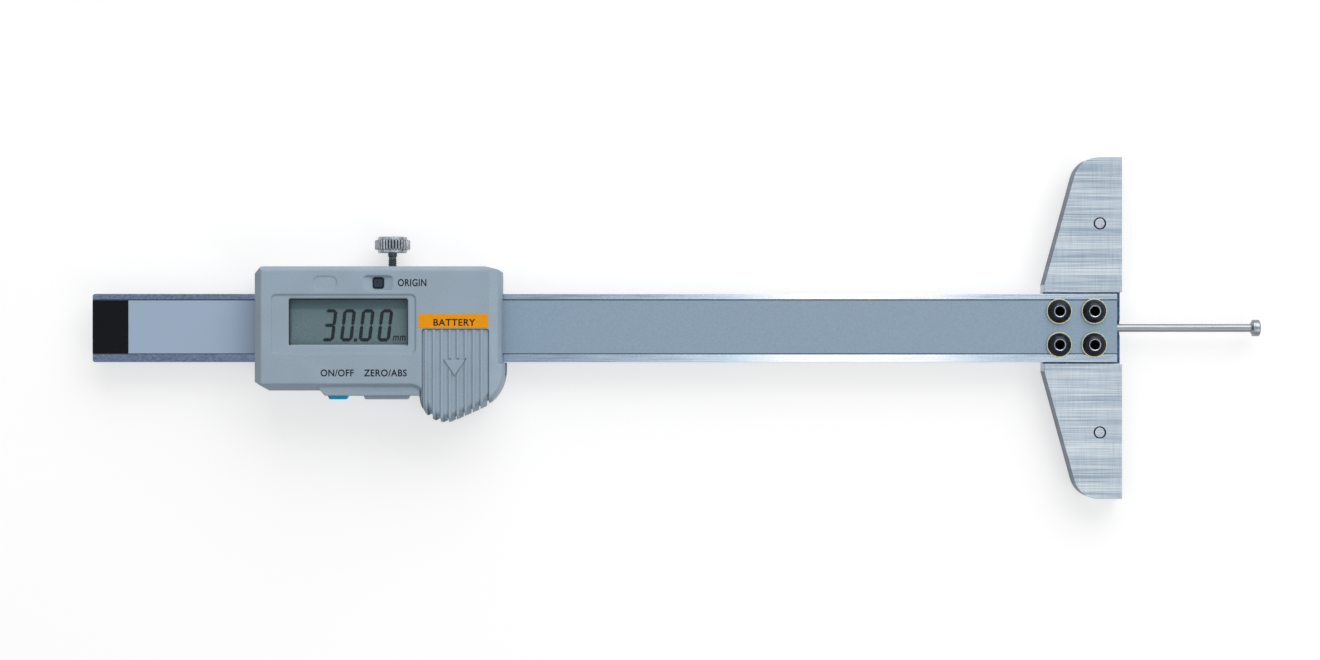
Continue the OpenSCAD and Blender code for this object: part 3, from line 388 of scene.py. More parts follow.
softbox("softbox_behind", (0.18, 0.77, 0.574), (-0.10, 0, 0), (1.3, 0.9), 2.35)
softbox("softbox_right", (0.45, -0.50, 0.82), (-0.10, 0, 0), (0.6, 0.6), 1.27)
softbox("softbox_above", (0.011, 0.0, 1.2), (0.011, 0, 0), (0.12, 0.5), 2.0)
print("three softboxes are up")

# %% [markdown]
# The camera, and what metal and glass mirror, see white. Only dull surfaces see the weaker light
# of the room, so the white backdrop doesn't wash out the shading. Near the horizon the mirrored
# white is greyer, as it is in a studio, and that draws a dark line along bevelled steel edges.

# %% World
world = bpy.data.worlds.new("studio")
bpy.context.scene.world = world
world.use_nodes = True
sky = world.node_tree
sky.nodes.clear()


def sees_white(tree):
    """1 for rays from the camera and for rays that metal or glass sends on, and 0 for dull light."""
    path = add(tree, "LightPath")
    first = add(tree, "Math", {0: path.outputs["Is Camera Ray"], 1: path.outputs["Is Glossy Ray"]},
                operation="MAXIMUM")
    return add(tree, "Math", {0: first.outputs[0], 1: path.outputs["Is Transmission Ray"]},
               operation="MAXIMUM").outputs[0], path.outputs["Is Camera Ray"]


white_seen, camera_ray = sees_white(sky)
direction = add(sky, "SeparateXYZ", {"Vector": add(sky, "TexCoord").outputs["Generated"]})
height = direction.outputs["Z"]
walls = shade(sky, height, "#8C95A0", "#FFFFFF", 0.05, 0.5)
mirrored = shade(sky, height, walls, "#D6D8DB", 0.8, 0.95)
seen = add(sky, "Mix", {0: camera_ray, 6: mirrored, 7: linear("#FFFFFF")}, data_type="RGBA")
dim = shade(sky, height, "#505050", "#CECECE", 0.0, 1.0)
room = add(sky, "Mix", {0: white_seen, 6: dim, 7: seen.outputs[2]}, data_type="RGBA")
background = add(sky, "Background", {"Color": room.outputs[2], "Strength": 1.0})
add(sky, "OutputWorld", {"Surface": background.outputs[0]})
print("the room's tree has", len(sky.nodes), "nodes")

# %% [markdown]
# The floor is a pale sheet right under the gauge. To dull surfaces it is plain paper, so it throws
# a little light back up. To the camera and to metal it glows as well, so that it fades into the
# white room, while the gauge's soft shadow on it stays.

# %% Floor
bpy.ops.mesh.primitive_plane_add(size=3.0, location=(-0.1, 0, cad_low.z))
floor = settle(newest("floor"))
paper, tree = blank("white_paper")
lit = add(tree, "BsdfDiffuse", {"Color": linear("#E6E6E6")})
glow = add(tree, "Emission", {"Color": linear("#FFFFFF"), "Strength": 0.55})
half = add(tree, "BsdfDiffuse", {"Color": linear("#C0C0C0")})
bright = add(tree, "AddShader", {0: half.outputs[0], 1: glow.outputs[0]})
mix = add(tree, "MixShader", {0: sees_white(tree)[0], 1: lit.outputs[0], 2: bright.outputs[0]})
add(tree, "OutputMaterial", {"Surface": mix.outputs[0]})
dress(floor, paper)
print("floor at", round(cad_low.z / MM, 2), "mm")

# %% [markdown]
# ## The housing's plastic
#
# The housing is ABS, injection moulded in blue-grey against a spark-eroded steel tool. That
# leaves an even, fine grain: it looks matt, and highlights spread into soft bands. The grain is
# about 0.1 mm on the real one, and is drawn at 0.25 mm so that it shows.


# %% Moulded plastic
def moulded_abs(name, dark, light, rough=0.5, grain=0.25, soft=0.0, gloss=0.5):
    """ABS with a spark-eroded grain: matt, with a faint mottle and a soft sheen."""
    material, tree = blank(name)
    fine = specks(tree, (grain, grain, grain), 3.0)
    cloud = specks(tree, (7, 7, 7), 1.0, 3.0)
    tone = shade(tree, fine, dark, light, 0.3, 0.7)
    cloudy = add(tree, "HueSaturation", {"Color": tone, "Value": level(tree, cloud, 0.97, 1.03)})
    roughness = level(tree, fine, rough - 0.05, rough + 0.07)
    sockets = {"Base Color": cloudy.outputs[0], "Roughness": roughness, "IOR": 1.53,
               "Specular IOR Level": gloss}
    surface(tree, sockets, fine, 0.012, soft)
    return material


case_plastic = moulded_abs("moulded_abs_blue_grey", "#8D9FAF", "#9BADBB", soft=0.6)
door_plastic = moulded_abs("moulded_abs_ribbed_door", "#8D9FAF", "#9BADBB", soft=0.12)
key_plastic = moulded_abs("moulded_abs_light_grey", "#9CA9B8", "#AEBAC7", 0.42)
blue_plastic = moulded_abs("moulded_abs_sky_blue", "#009FD0", "#1CB2DE", 0.38, gloss=0.25)
dark_plastic = moulded_abs("moulded_abs_midnight", "#1B2636", "#2B384B", 0.34, gloss=0.3)
print("plastics:", case_plastic.name, key_plastic.name, blue_plastic.name, dark_plastic.name)

# %% [markdown]
# The rear case and the keys get softened edges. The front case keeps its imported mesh, and its
# material rounds the edges in the shading.

# %% Housing and keys
for node, width, finish in (
    ("rear_case", 0.05, case_plastic),
    ("on_off_button", 0.25, blue_plastic),
    ("zero_button", 0.25, key_plastic),
    ("origin_button", 0.15, dark_plastic),
):
    piece = dress(softened(node, width), finish)
    print(piece.name, len(piece.data.polygons), "faces")
dress(frame["nodes"]["front_case"], case_plastic)

# %% [markdown]
# The battery door ends in a rounded corner. Left of its first rib the door and the case under it
# are filled out, each by a thin slice of a turned corner.


# %% Filling beside the first rib
def block_between(name, low, high):
    """A box between two corners, given in millimetres."""
    bpy.ops.mesh.primitive_cube_add(size=1)
    block = newest(name)
    block.scale = [(h - l) * MM for l, h in zip(low, high)]
    middle = [(l + h) / 2 * MM for l, h in zip(low, high)]
    return settle(block, Matrix.Translation(middle))


def corner_slice(name, left, right, steps):
    """A slice between two x values of the lobe's turned corner, given as (height, radius) steps."""
    corner = settle(turned(name, 96, steps), Matrix.Translation(Vector((CORNER_X, CORNER_Y, 0)) * MM))
    reach = 4 * CORNER_R
    for start, end in ((left - reach, left), (right, right + reach)):
        low, high = (start, CORNER_Y - reach, -reach), (end, CORNER_Y + reach, reach)
        cut(corner, block_between("cutter", low, high))
    return corner


door_low, door_high = [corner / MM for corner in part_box("battery_door")]
RIB_RISE = 0.4
FLAT_TOP = door_high.z - RIB_RISE
CORNER_X, CORNER_Y, CORNER_R = door_low.x + 5.72, door_low.y + 5.986, 5.95
SLICE_LEFT, SLICE_RIGHT = door_low.x + 0.52, door_low.x + 1.1
# The corner's profile, as heights and radii, from the upright wall over the shoulder to the flat.
rim = [(door_low.z, CORNER_R), (9.6, CORNER_R), (10.5, 5.8), (11.1, 5.5), (FLAT_TOP - 0.03, 5.1)]
slices = [corner_slice("door_corner", SLICE_LEFT, SLICE_RIGHT, rim)]
strip_low = (SLICE_LEFT, CORNER_Y - 0.3, door_low.z)
slices.append(block_between("door_strip", strip_low, (SLICE_RIGHT, CORNER_Y + 5.47, FLAT_TOP - 0.01)))
case_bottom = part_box("rear_case")[0].z / MM
DOOR_GAP = 0.15
wall = [(case_bottom + 0.05, CORNER_R), (door_low.z - DOOR_GAP, CORNER_R)]
filling = dress(corner_slice("case_corner", SLICE_LEFT - DOOR_GAP, SLICE_RIGHT, wall), case_plastic)
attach(filling, "slider")
print("slices between x", round(SLICE_LEFT, 2), "and", round(SLICE_RIGHT, 2))

# %% [markdown]
# The door's arrow stands as high as its ribs, so its outline is engraved: a fine groove along its
# two slanting sides, cut with slim bars. The door is shaded flat, since its ribs have many narrow
# faces that smooth shading would smear.

# %% Door with an outlined arrow
door = merged("battery_door")
ARROW_W, ARROW_H, ARROW_DROP, ARROW_SHIFT = 5.1, 3.8, 7.0, -0.18
GROOVE_W, GROOVE_DEEP = 0.24, 0.3
arrow_x = (door_low.x + door_high.x) / 2 + ARROW_SHIFT
arrow_top = door_high.y - ARROW_DROP
for side in (-1, 1):
    run = Vector((side * ARROW_W / 2, ARROW_H))
    reach = Vector(((run.length + GROOVE_W) / 2, GROOVE_W / 2, GROOVE_DEEP))
    bar = block_between("groove", -reach, reach)
    middle = Vector((arrow_x + run.x / 2, arrow_top - ARROW_H / 2, door_high.z)) * MM
    settle(bar, Matrix.Rotation(math.atan2(run.y, run.x), 4, "Z"), Matrix.Translation(middle))
    cut(door, bar)
for piece in (door, *slices):
    dress(piece, door_plastic)
make_active(door)
for piece in slices:
    piece.select_set(True)
bpy.ops.object.join()
bpy.ops.object.shade_flat()
print("door has", len(door.data.polygons), "faces, arrow tip at y", round(arrow_top - ARROW_H, 2))

# %% [markdown]
# ## Steel
#
# The base is hardened stainless steel, ground flat. The wheel leaves fine parallel scratches, and here they
# cross: long bright ones along the beam, and short faint ones across it. They show as changes in tint and
# in roughness. The slot, the milled wall and the grooves round the pins aren't ground, and get a darker
# steel: its lines are those of milling, and its darkness is painted shade.


# %% Ground steel
def ground_steel(name, dark, light, along, across, rough=0.3, depth=0.004):
    """Stainless steel off a surface grinder: long streaks one way, a faint cross-hatch the other."""
    material, tree = blank(name)
    long_lines = specks(tree, along, 4.0)
    cross_lines = specks(tree, across, 3.0, 5.0)
    broad = specks(tree, (60, 3, 60), 2.0, 9.0)
    both = add(tree, "Mix", {0: 0.2, 2: long_lines, 3: cross_lines}).outputs[0]
    all_lines = add(tree, "Mix", {0: 0.3, 2: both, 3: broad}).outputs[0]
    tone = shade(tree, all_lines, dark, light, 0.4, 0.62)
    sockets = {"Base Color": tone, "Metallic": 1.0, "Roughness": level(tree, both, rough, rough + 0.1)}
    surface(tree, sockets, both, depth)
    return material


base_steel = ground_steel("ground_stainless_steel", "#92A1B0", "#D2DADF", (18, 0.18, 18), (0.22, 5, 5))
# Painted shade: a darker milled steel for the wall, the slot and the pin grooves.
base_shade_steel = ground_steel("milled_steel_painted_shade", "#27344A", "#5A6E86", (0.5, 0.5, 6), (3, 3, 0.4), 0.35)
print("steels:", base_steel.name, base_shade_steel.name)

# %% [markdown]
# The faces of the base that aren't ground are picked by their direction and height, and get the second
# steel, with its painted shade.

# %% Base
base = dress(softened("measuring_base", 0.12), base_steel, base_shade_steel)
base_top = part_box("measuring_base")[1].z
pin_low, pin_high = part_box("wing_pins")
pin_r = (pin_high.x - pin_low.x) / 2
pins = [Vector((pin_low.x + pin_r, y)) for y in (pin_low.y + pin_r, pin_high.y - pin_r)]
SLOT_WALL, RING_R, SUNK_BY = 9 * MM, 1.62 * MM, 0.3 * MM


def in_shade(face):
    """True for the milled wall, the slot's floor and the grooves round the pins."""
    middle = face.calc_center_median()
    if face.normal.x < -0.5:
        return abs(middle.y) > SLOT_WALL
    sunk = face.normal.z > -0.5 and middle.z < base_top - SUNK_BY
    to_pin = min((middle.xy - pin).length for pin in pins)
    return sunk and (abs(middle.y) < SLOT_WALL or to_pin < RING_R)


pick(base, "FACE", in_shade)
base.active_material_index = 1
bpy.ops.object.material_slot_assign()
bpy.ops.object.mode_set(mode="OBJECT")
print("base has", len(base.data.polygons), "faces")

# %% [markdown]
# The beam is the same steel, and its two rails are lapped. Their colour follows the place along the beam,
# in metres from the base's measuring face: painted reflections make them dark at the free end and lighter
# towards the base, and a painted reflection of the softbox above gives the brightest stretch left of the
# base.

# %% Beam
# Where the painted reflections change along the rails, in metres of X.
DARK_END_TO, HALF_LIT_FROM = -0.212, -0.15
HALF_LIT_TO, LIT_FROM = -0.14, -0.095
REFLECTION_AT, REFLECTION_HALF, REFLECTION_FADE = 0.062, 0.018, 0.03


def rail_steel(name):
    """Lapped steel with painted reflections by place along the beam: brightest left of the base, dark slate
    at the free end.
    """
    material, tree = blank(name)
    place = add(tree, "SeparateXYZ", {"Vector": add(tree, "TexCoord").outputs["Object"]})
    lines = specks(tree, (9, 0.2, 9), 4.0)
    spots = specks(tree, (0.6, 0.3, 0.6), 2.0, 4.0)
    dim = shade(tree, spots, "#64748E", "#899AB3", 0.3, 0.7)
    half_lit = shade(tree, lines, "#90A3B6", "#A2B4C5", 0.35, 0.65)
    lit_tone = shade(tree, lines, "#AABBCB", "#BECDD9", 0.35, 0.65)
    softbox_reflection = shade(tree, lines, "#C8CFD3", "#D6DADC", 0.35, 0.65)
    # Painted reflections: the tone follows the place along the beam.
    dark_to_half_lit = shade(tree, place.outputs["X"], dim, half_lit, DARK_END_TO, HALF_LIT_FROM)
    bright = shade(tree, place.outputs["X"], dark_to_half_lit, lit_tone, HALF_LIT_TO, LIT_FROM)
    away = add(tree, "Math", {0: place.outputs["X"], 1: REFLECTION_AT}, operation="ADD").outputs[0]
    from_middle = add(tree, "Math", {0: away}, operation="ABSOLUTE").outputs[0]
    tone = shade(tree, from_middle, softbox_reflection, bright, REFLECTION_HALF, REFLECTION_FADE)
    sockets = {"Base Color": tone, "Metallic": 1.0, "Roughness": level(tree, lines, 0.16, 0.26)}
    surface(tree, sockets, lines, 0.002)
    return material


beam = dress(softened("main_beam", 0.08), rail_steel("lapped_steel_painted_reflections"))
print("beam has", len(beam.data.polygons), "faces")

# %% [markdown]
# ## Film, label and display
#
# A polyester film covers the scale. It is printed blue-grey on its back, so its face is smooth
# and satin. The labels are vinyl: black at the free end, and orange above the battery door.


# %% Film and labels
def printed_film(name, dark, light, rough, gloss=0.5, free_end_tone=None):
    """Polyester film with a printed back: satin, with a faint print grain, paler towards the free end when
    a tone is given for it.
    """
    material, tree = blank(name)
    grain = specks(tree, (0.35, 0.35, 0.35), 2.0)
    tone = shade(tree, grain, dark, light, 0.3, 0.7)
    if free_end_tone:
        place = add(tree, "SeparateXYZ", {"Vector": add(tree, "TexCoord").outputs["Object"]})
        # Paler towards the free end, beyond x = -0.2 m.
        tone = shade(tree, place.outputs["X"], free_end_tone, tone, -0.2, -0.15)
    roughness = level(tree, grain, rough, rough + 0.06)
    sockets = {"Base Color": tone, "Roughness": roughness, "IOR": 1.57, "Specular IOR Level": gloss}
    surface(tree, sockets, grain, 0.002)
    return material


film = frame["nodes"]["scale_film"]
dress(film, printed_film("printed_polyester_film", "#8198AC", "#8DA4B8", 0.4, free_end_tone="#9DB1C8"))
dress(frame["nodes"]["end_label"], printed_film("black_vinyl_label", "#070A0F", "#0E131A", 0.28, 0.1))
orange = printed_film("orange_vinyl_label", "#EA940A", "#F2A010", 0.42, 0.1)
print("films:", film.name)


# %% [markdown]
# The display's glass is a grey green reflector behind a polariser, and the case's edge shades its
# upper end. A soft step in the colour gives that band the same place from every side.


# %% Display glass
def reflector_glass(name):
    """A liquid crystal cell over a metal-foil reflector: grey green with a fine sparkle."""
    material, tree = blank(name)
    sparkle = specks(tree, (0.2, 0.2, 0.2), 2.0)
    place = add(tree, "SeparateXYZ", {"Vector": add(tree, "TexCoord").outputs["Object"]})
    open_glass = shade(tree, sparkle, "#637379", "#75848A", 0.3, 0.7)
    tone = shade(tree, place.outputs["Y"], open_glass, "#576A72", 0.0041, 0.0046)
    sockets = {"Base Color": tone, "Roughness": 0.35, "IOR": 1.52, "Specular IOR Level": 0.1}
    surface(tree, sockets, sparkle, 0.003)
    return material


dress(frame["nodes"]["lcd_glass"], reflector_glass("lcd_reflector_glass"))

# %% [markdown]
# The window over the display is clear acrylic, set deep in the case, so its cut edges show round the
# opening. They are slim strips with broken edges, let into the window's face: painted shade above and at
# the sides, and a painted highlight below.


# %% Window
def clear_acrylic(name):
    """Coated acrylic sheet: most light passes without a reflection, and so do the lamps."""
    material, tree = blank(name)
    ripple = specks(tree, (12, 12, 12), 1.0)
    relief = add(tree, "Bump", {"Height": ripple, "Distance": 0.001 * MM})
    sockets = {"Base Color": linear("#F2F7F7"), "Roughness": 0.03, "IOR": 1.49,
               "Transmission Weight": 1.0, "Normal": relief.outputs[0]}
    solid = add(tree, "BsdfPrincipled", sockets)
    passing = add(tree, "BsdfTransparent", {"Color": linear("#F2F7F7")})
    lamp_ray = add(tree, "LightPath").outputs["Is Shadow Ray"]
    clear = level(tree, lamp_ray, 0.65, 1.0, 0.0, 1.0)
    mix = add(tree, "MixShader", {0: clear, 1: solid.outputs[0], 2: passing.outputs[0]})
    add(tree, "OutputMaterial", {"Surface": mix.outputs[0]})
    return material


# Painted highlight and painted shade for the window's cut edges.
edge_highlight_paint = printed_film("acrylic_edge_painted_highlight", "#A2B6BE", "#B0C2C9", 0.3)
edge_shade_paint = printed_film("acrylic_edge_painted_shade", "#20292F", "#2C363C", 0.3, 0.2)
window = dress(merged("lcd_window"), clear_acrylic("clear_acrylic"))
bpy.ops.object.shade_flat()
window_low, window_high = [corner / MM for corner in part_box("lcd_window")]
LENS_LAP, EDGE_W, EDGE_T = 0.99, 0.3, 0.02
x0, x1 = window_low.x + LENS_LAP, window_high.x - LENS_LAP
y0, y1 = window_low.y + LENS_LAP, window_high.y - LENS_LAP
foot, head = window_high.z - EDGE_T / 2, window_high.z + EDGE_T
side_x, side_y = (x0 + EDGE_W, x1 - EDGE_W), y1 - EDGE_W
shade_strips = joined("window_edge_painted_shade", [
    block_between("edge", (x0, side_y, foot), (x1, y1, head)),
    block_between("edge", (x0, y0, foot), (side_x[0], side_y, head)),
    block_between("edge", (side_x[1], y0, foot), (x1, side_y, head)),
])
highlight_strip = block_between("window_edge_painted_highlight", (side_x[0], y0, foot), (side_x[1], y0 + EDGE_W, head))
for piece, finish in ((shade_strips, edge_shade_paint), (highlight_strip, edge_highlight_paint)):
    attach(dress(finish_edges(piece, EDGE_T / 4, 1), finish), "slider")
print("window has", len(window.data.polygons), "faces")

# %% [markdown]
# ## The digits
#
# A digit is made of seven segments. One segment is a flat six-sided bar with pointed ends: a
# six-sided cylinder gives it, stretched until its points are as long as it is wide. It is copied
# for each lit segment, each copy with its own mesh, and the finished digits are slanted.

# %% One segment
LOBE_OUT = 0.3
near_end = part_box("front_case")[1].x - LOBE_OUT * MM
glass_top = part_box("lcd_glass")[1].z
DIGIT_H, DIGIT_W, BAR = 7.5, 2.95, 0.78
INK = 0.02
GAP = 0.1


def segment(length, upright):
    """A bar with pointed ends, lying flat around the origin."""
    radius = BAR / 2 / math.sin(math.radians(60))
    bpy.ops.mesh.primitive_cylinder_add(vertices=6, radius=radius * MM, depth=INK * MM)
    bar = newest("segment")
    pick(bar, "VERT", lambda vertex: True)
    bpy.ops.transform.resize(value=(1, math.tan(math.radians(60)), 1))
    stretch = (length / 2 - BAR) * MM
    for side in (-1, 1):
        pick(bar, "VERT", lambda vertex: vertex.co.y * side > 0)
        bpy.ops.transform.translate(value=(0, side * stretch, 0))
    bpy.ops.object.mode_set(mode="OBJECT")
    return settle(bar, Matrix() if upright else Matrix.Rotation(math.radians(90), 4, "Z"))


print("a digit is", DIGIT_W, "by", DIGIT_H, "mm")

# %% [markdown]
# The reading is the one in the photograph, thirty millimetres with two decimals.

# %% The reading
HALF_H = (DIGIT_H - BAR) / 2
HALF_W = (DIGIT_W - BAR) / 2
PLACES = {
    "top": (0, 2 * HALF_H, False),
    "middle": (0, HALF_H, False),
    "bottom": (0, 0, False),
    "upper_left": (-HALF_W, 1.5 * HALF_H, True),
    "upper_right": (HALF_W, 1.5 * HALF_H, True),
    "lower_left": (-HALF_W, 0.5 * HALF_H, True),
    "lower_right": (HALF_W, 0.5 * HALF_H, True),
}
LIT = {
    "3": ("top", "middle", "bottom", "upper_right", "lower_right"),
    "0": ("top", "bottom", "upper_left", "upper_right", "lower_left", "lower_right"),
}
PITCH = 4.32
SLANT = math.tan(math.radians(7))
FIRST_X, FOOT_Y = -40.6, -2.75
bars = []
for number, digit in enumerate("3000"):
    for name in LIT[digit]:
        x, y, upright = PLACES[name]
        length = (HALF_H if upright else 2 * HALF_W) - GAP
        bar = segment(length + BAR * 0.18, upright)
        bars.append(settle(bar, Matrix.Translation(((number * PITCH + x) * MM, y * MM, 0))))
bpy.ops.mesh.primitive_cube_add(size=BAR * 0.95 * MM, location=((1.5 * PITCH) * MM, -0.02 * MM, 0))
point = newest("point")
point.scale.z = INK / (BAR * 0.95)
bars.append(settle(point))
digits = joined("display_digits", bars)
settle(digits, Matrix.Shear("XZ", 4, (SLANT, 0)))
settle(digits, Matrix.Translation((near_end + FIRST_X * MM, FOOT_Y * MM, glass_top + INK / 2 * MM)))
turn_outwards(digits)
print("display digits:", len(digits.data.polygons), "faces")

# %% [markdown]
# ## Printed words
#
# The words name the keys and the battery compartment. They are pad printed in dark ink. A text
# object is made a mesh, scaled to the measured box of the word, and laid on the surface.


# %% Words
def word(name, letters, box, height, slant=0.0, weight=0.02):
    """Printed letters that fill box, as (left, right, bottom, top) in mm from the case's near end."""
    left, right, bottom, top = box
    bpy.ops.object.text_add()
    text = bpy.context.object
    text.data.body = letters
    text.data.extrude = 0.5
    text.data.offset = weight
    text.data.space_character = 1.08
    make_active(text)
    bpy.ops.object.convert(target="MESH")
    piece = settle(newest(name))
    corners = [vertex.co for vertex in piece.data.vertices]
    low = Vector([min(c[i] for c in corners) for i in range(3)])
    high = Vector([max(c[i] for c in corners) for i in range(3)])
    size = Vector((right - left, top - bottom, INK)) * MM
    fit = Matrix.Diagonal([size[i] / (high[i] - low[i]) for i in range(3)]).to_4x4()
    place = Vector((near_end + left * MM, bottom * MM, height))
    lean = Matrix.Shear("XZ", 4, (slant, 0))
    settle(piece, Matrix.Translation(-low), fit, lean, Matrix.Translation(place))
    return piece


case_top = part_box("front_case")[1].z
label_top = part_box("battery_label")[1].z
label = dress(softened("battery_label", 0.0), orange)
pick(label, "VERT", lambda vertex: vertex.co.z > label_top - INK * MM)
bpy.ops.transform.translate(value=(0, 0, -INK * MM))
bpy.ops.object.mode_set(mode="OBJECT")
SINK = 0.005 * MM
words = [
    word("word_origin", "ORIGIN", (-24.11, -17.5, 9.62, 11.33), case_top - SINK),
    word("word_on_off", "ON/OFF", (-41.96, -34.3, -11.22, -9.58), case_top - SINK),
    word("word_zero_abs", "ZERO/ABS", (-31.95, -22.03, -11.22, -9.58), case_top - SINK),
    word("word_battery", "BATTERY", (-15.86, -6.15, 0.5, 2.1), label_top - INK * MM),
]
unit = word("word_mm", "mm", (-25.5, -22.6, -2.98, -1.75), glass_top, 0.14, 0.015)
print("words:", [piece.name for piece in words])

# %% [markdown]
# Pad printing leaves a thin, matt and slightly uneven layer of ink. The display's dark segments
# are the liquid crystal itself, and look the same from here, only deeper.


# %% Ink
def printed_ink(name, dark, light, rough):
    """Pad-printing ink: dark, with a slightly uneven layer."""
    material, tree = blank(name)
    layer = specks(tree, (0.12, 0.12, 0.12), 2.0)
    tone = shade(tree, layer, dark, light, 0.3, 0.7)
    sockets = {"Base Color": tone, "Roughness": rough, "IOR": 1.5, "Specular IOR Level": 0.15}
    surface(tree, sockets, layer, 0.003)
    return material


ink = printed_ink("pad_printing_ink", "#0F151E", "#1D2530", 0.5)
crystal_dark = printed_ink("liquid_crystal_dark", "#050D15", "#0E1924", 0.4)
for piece in words:
    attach(dress(piece, ink), "slider")
for piece in (digits, unit):
    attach(dress(piece, crystal_dark), "slider")
print("inks:", ink.name, crystal_dark.name)

# %% [markdown]
# ## Screws of the base
#
# Four button-head socket screws hold the base to the beam. They are steel with a black oxide skin, thin
# enough to be glossy where the head is domed. The socket has a countersunk mouth, and its rim catches the
# light, which a bright steel on the rim paints as a highlight.

# %% Button-head screw
screw_low, screw_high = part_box("base_screws")
beam_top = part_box("main_beam")[1].z
WASHER_T = 0.5
HEAD_R, HEAD_H, SHANK_R = 2.75, 1.65, 1.5
MOUTH_R, SOCKET_AF, SOCKET_DEEP = 1.34, 2.0, 1.0
dome_r = (HEAD_R**2 + HEAD_H**2) / (2 * HEAD_H)
seat = beam_top / MM + WASHER_T
foot = screw_low.z / MM - seat
HEAD_EDGE, SKIRT_H = 0.08, 0.22
steps = [(foot, SHANK_R * 0.85), (foot + 0.3, SHANK_R), (0, SHANK_R)]
steps += [(0.0, HEAD_R - HEAD_EDGE), (HEAD_EDGE, HEAD_R), (SKIRT_H, HEAD_R)]
DOME_STEPS = 9
for i in range(1, DOME_STEPS + 1):
    r = HEAD_R + (MOUTH_R + HEAD_EDGE - HEAD_R) * i / DOME_STEPS
    steps.append((max(SKIRT_H + 0.01 * i, HEAD_H - dome_r + math.sqrt(dome_r**2 - r**2)), r))
top = steps[-1][0]
steps += [(top + 0.01, MOUTH_R), (top - 0.12, MOUTH_R - 0.14)]
screw = turned("button_screw", 64, steps)
hexagon = turned("hexagon", 6, [(top - SOCKET_DEEP, SOCKET_AF / 2 / math.cos(math.radians(30))),
                                (top + 1, SOCKET_AF / 2 / math.cos(math.radians(30)))])
cut(screw, hexagon)
finish_edges(screw, 0.035, 2, 30)
print("one screw has", len(screw.data.polygons), "faces")

# %% [markdown]
# The bevelled rim of the socket gets a bright steel, a painted highlight for the light it catches. Its
# faces are those near the mouth's radius, so they are picked by their distance from the axis and get the
# second material.


# %% Black oxide and its bright rim
def black_oxide(name):
    """Steel blackened in a hot bath: near black with a blue cast, glossy on the dome."""
    material, tree = blank(name)
    cloud = specks(tree, (0.5, 0.5, 0.5), 3.0)
    tone = shade(tree, cloud, "#050B14", "#101B29", 0.3, 0.7)
    sockets = {"Base Color": tone, "Roughness": level(tree, cloud, 0.24, 0.36), "IOR": 1.6,
               "Specular IOR Level": 0.2}
    surface(tree, sockets, cloud, 0.004)
    return material


def bright_steel(name, dark, light, size, rough, depth=0.003):
    """Drawn or turned steel, with fine tool lines of the given size."""
    material, tree = blank(name)
    lines = specks(tree, size, 3.0)
    tone = shade(tree, lines, dark, light, 0.3, 0.7)
    sockets = {"Base Color": tone, "Metallic": 1.0, "Roughness": level(tree, lines, rough, rough + 0.08)}
    surface(tree, sockets, lines, depth)
    return material


oxide = black_oxide("black_oxide_steel")
# Painted highlight: bright steel for the socket's rim.
rim_highlight_steel = bright_steel("socket_rim_painted_highlight", "#8A929C", "#C9CFD4", (0.3, 0.3, 0.3), 0.22)
dress(screw, oxide, rim_highlight_steel)


def on_rim(face):
    """True for the chamfer round the socket's mouth."""
    middle = face.calc_center_median()
    distance = math.hypot(middle.x, middle.y) / MM
    return MOUTH_R - 0.15 < distance < MOUTH_R + 0.03 and middle.z > (top - 0.2) * MM


pick(screw, "FACE", on_rim)
screw.active_material_index = 1
bpy.ops.object.material_slot_assign()
bpy.ops.object.mode_set(mode="OBJECT")
print("rim faces:", sum(face.material_index == 1 for face in screw.data.polygons))

# %% [markdown]
# The finished screw is copied to its four places. Each copy has its own mesh and is turned by its
# own angle, as screws come to rest where they are tight.

# %% Four screws
xs = (screw_low.x + HEAD_R * MM, screw_high.x - HEAD_R * MM)
ys = (screw_low.y + HEAD_R * MM, screw_high.y - HEAD_R * MM)
TURNS = (12, 33, 51, 24)
copies = []
for number, (x, y) in enumerate([(x, y) for x in xs for y in ys]):
    copy = bpy.data.objects.new("screw_copy", screw.data.copy())
    bpy.context.scene.collection.objects.link(copy)
    spin = Matrix.Rotation(math.radians(TURNS[number]), 4, "Z")
    copies.append(settle(copy, spin, Matrix.Translation((x, y, seat * MM))))
bpy.data.objects.remove(screw)
base_screws = joined("base_screws_finished", copies)
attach(base_screws, "beam_and_base")
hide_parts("base_screws")
print("screws at x", [round(x / MM, 2) for x in xs], "y", [round(y / MM, 2) for y in ys])

# %% [markdown]
# The washers under the screws are plated a pale yellow. The pins in the wings are ground level
# with the face.

# %% Washers and wing pins
plated = bright_steel("yellow_zinc_plating", "#A9A88C", "#D6D5B4", (0.4, 0.4, 0.4), 0.25)
dress(softened("base_washers", 0.05), plated)
pin_steel = bright_steel("ground_pin_end", "#9AA1AC", "#D5DCE2", (0.5, 0.15, 0.5), 0.24)
dress(softened("wing_pins", 0.12), pin_steel)
print("washers and pins are done")

# %% [markdown]
# ## Probe
#
# The probe is a drawn rod with a small turned disc. The disc has a chamfer on both sides and a
# neck behind it. It is turned on the lathe helper, laid along +X and put on the rod's end.

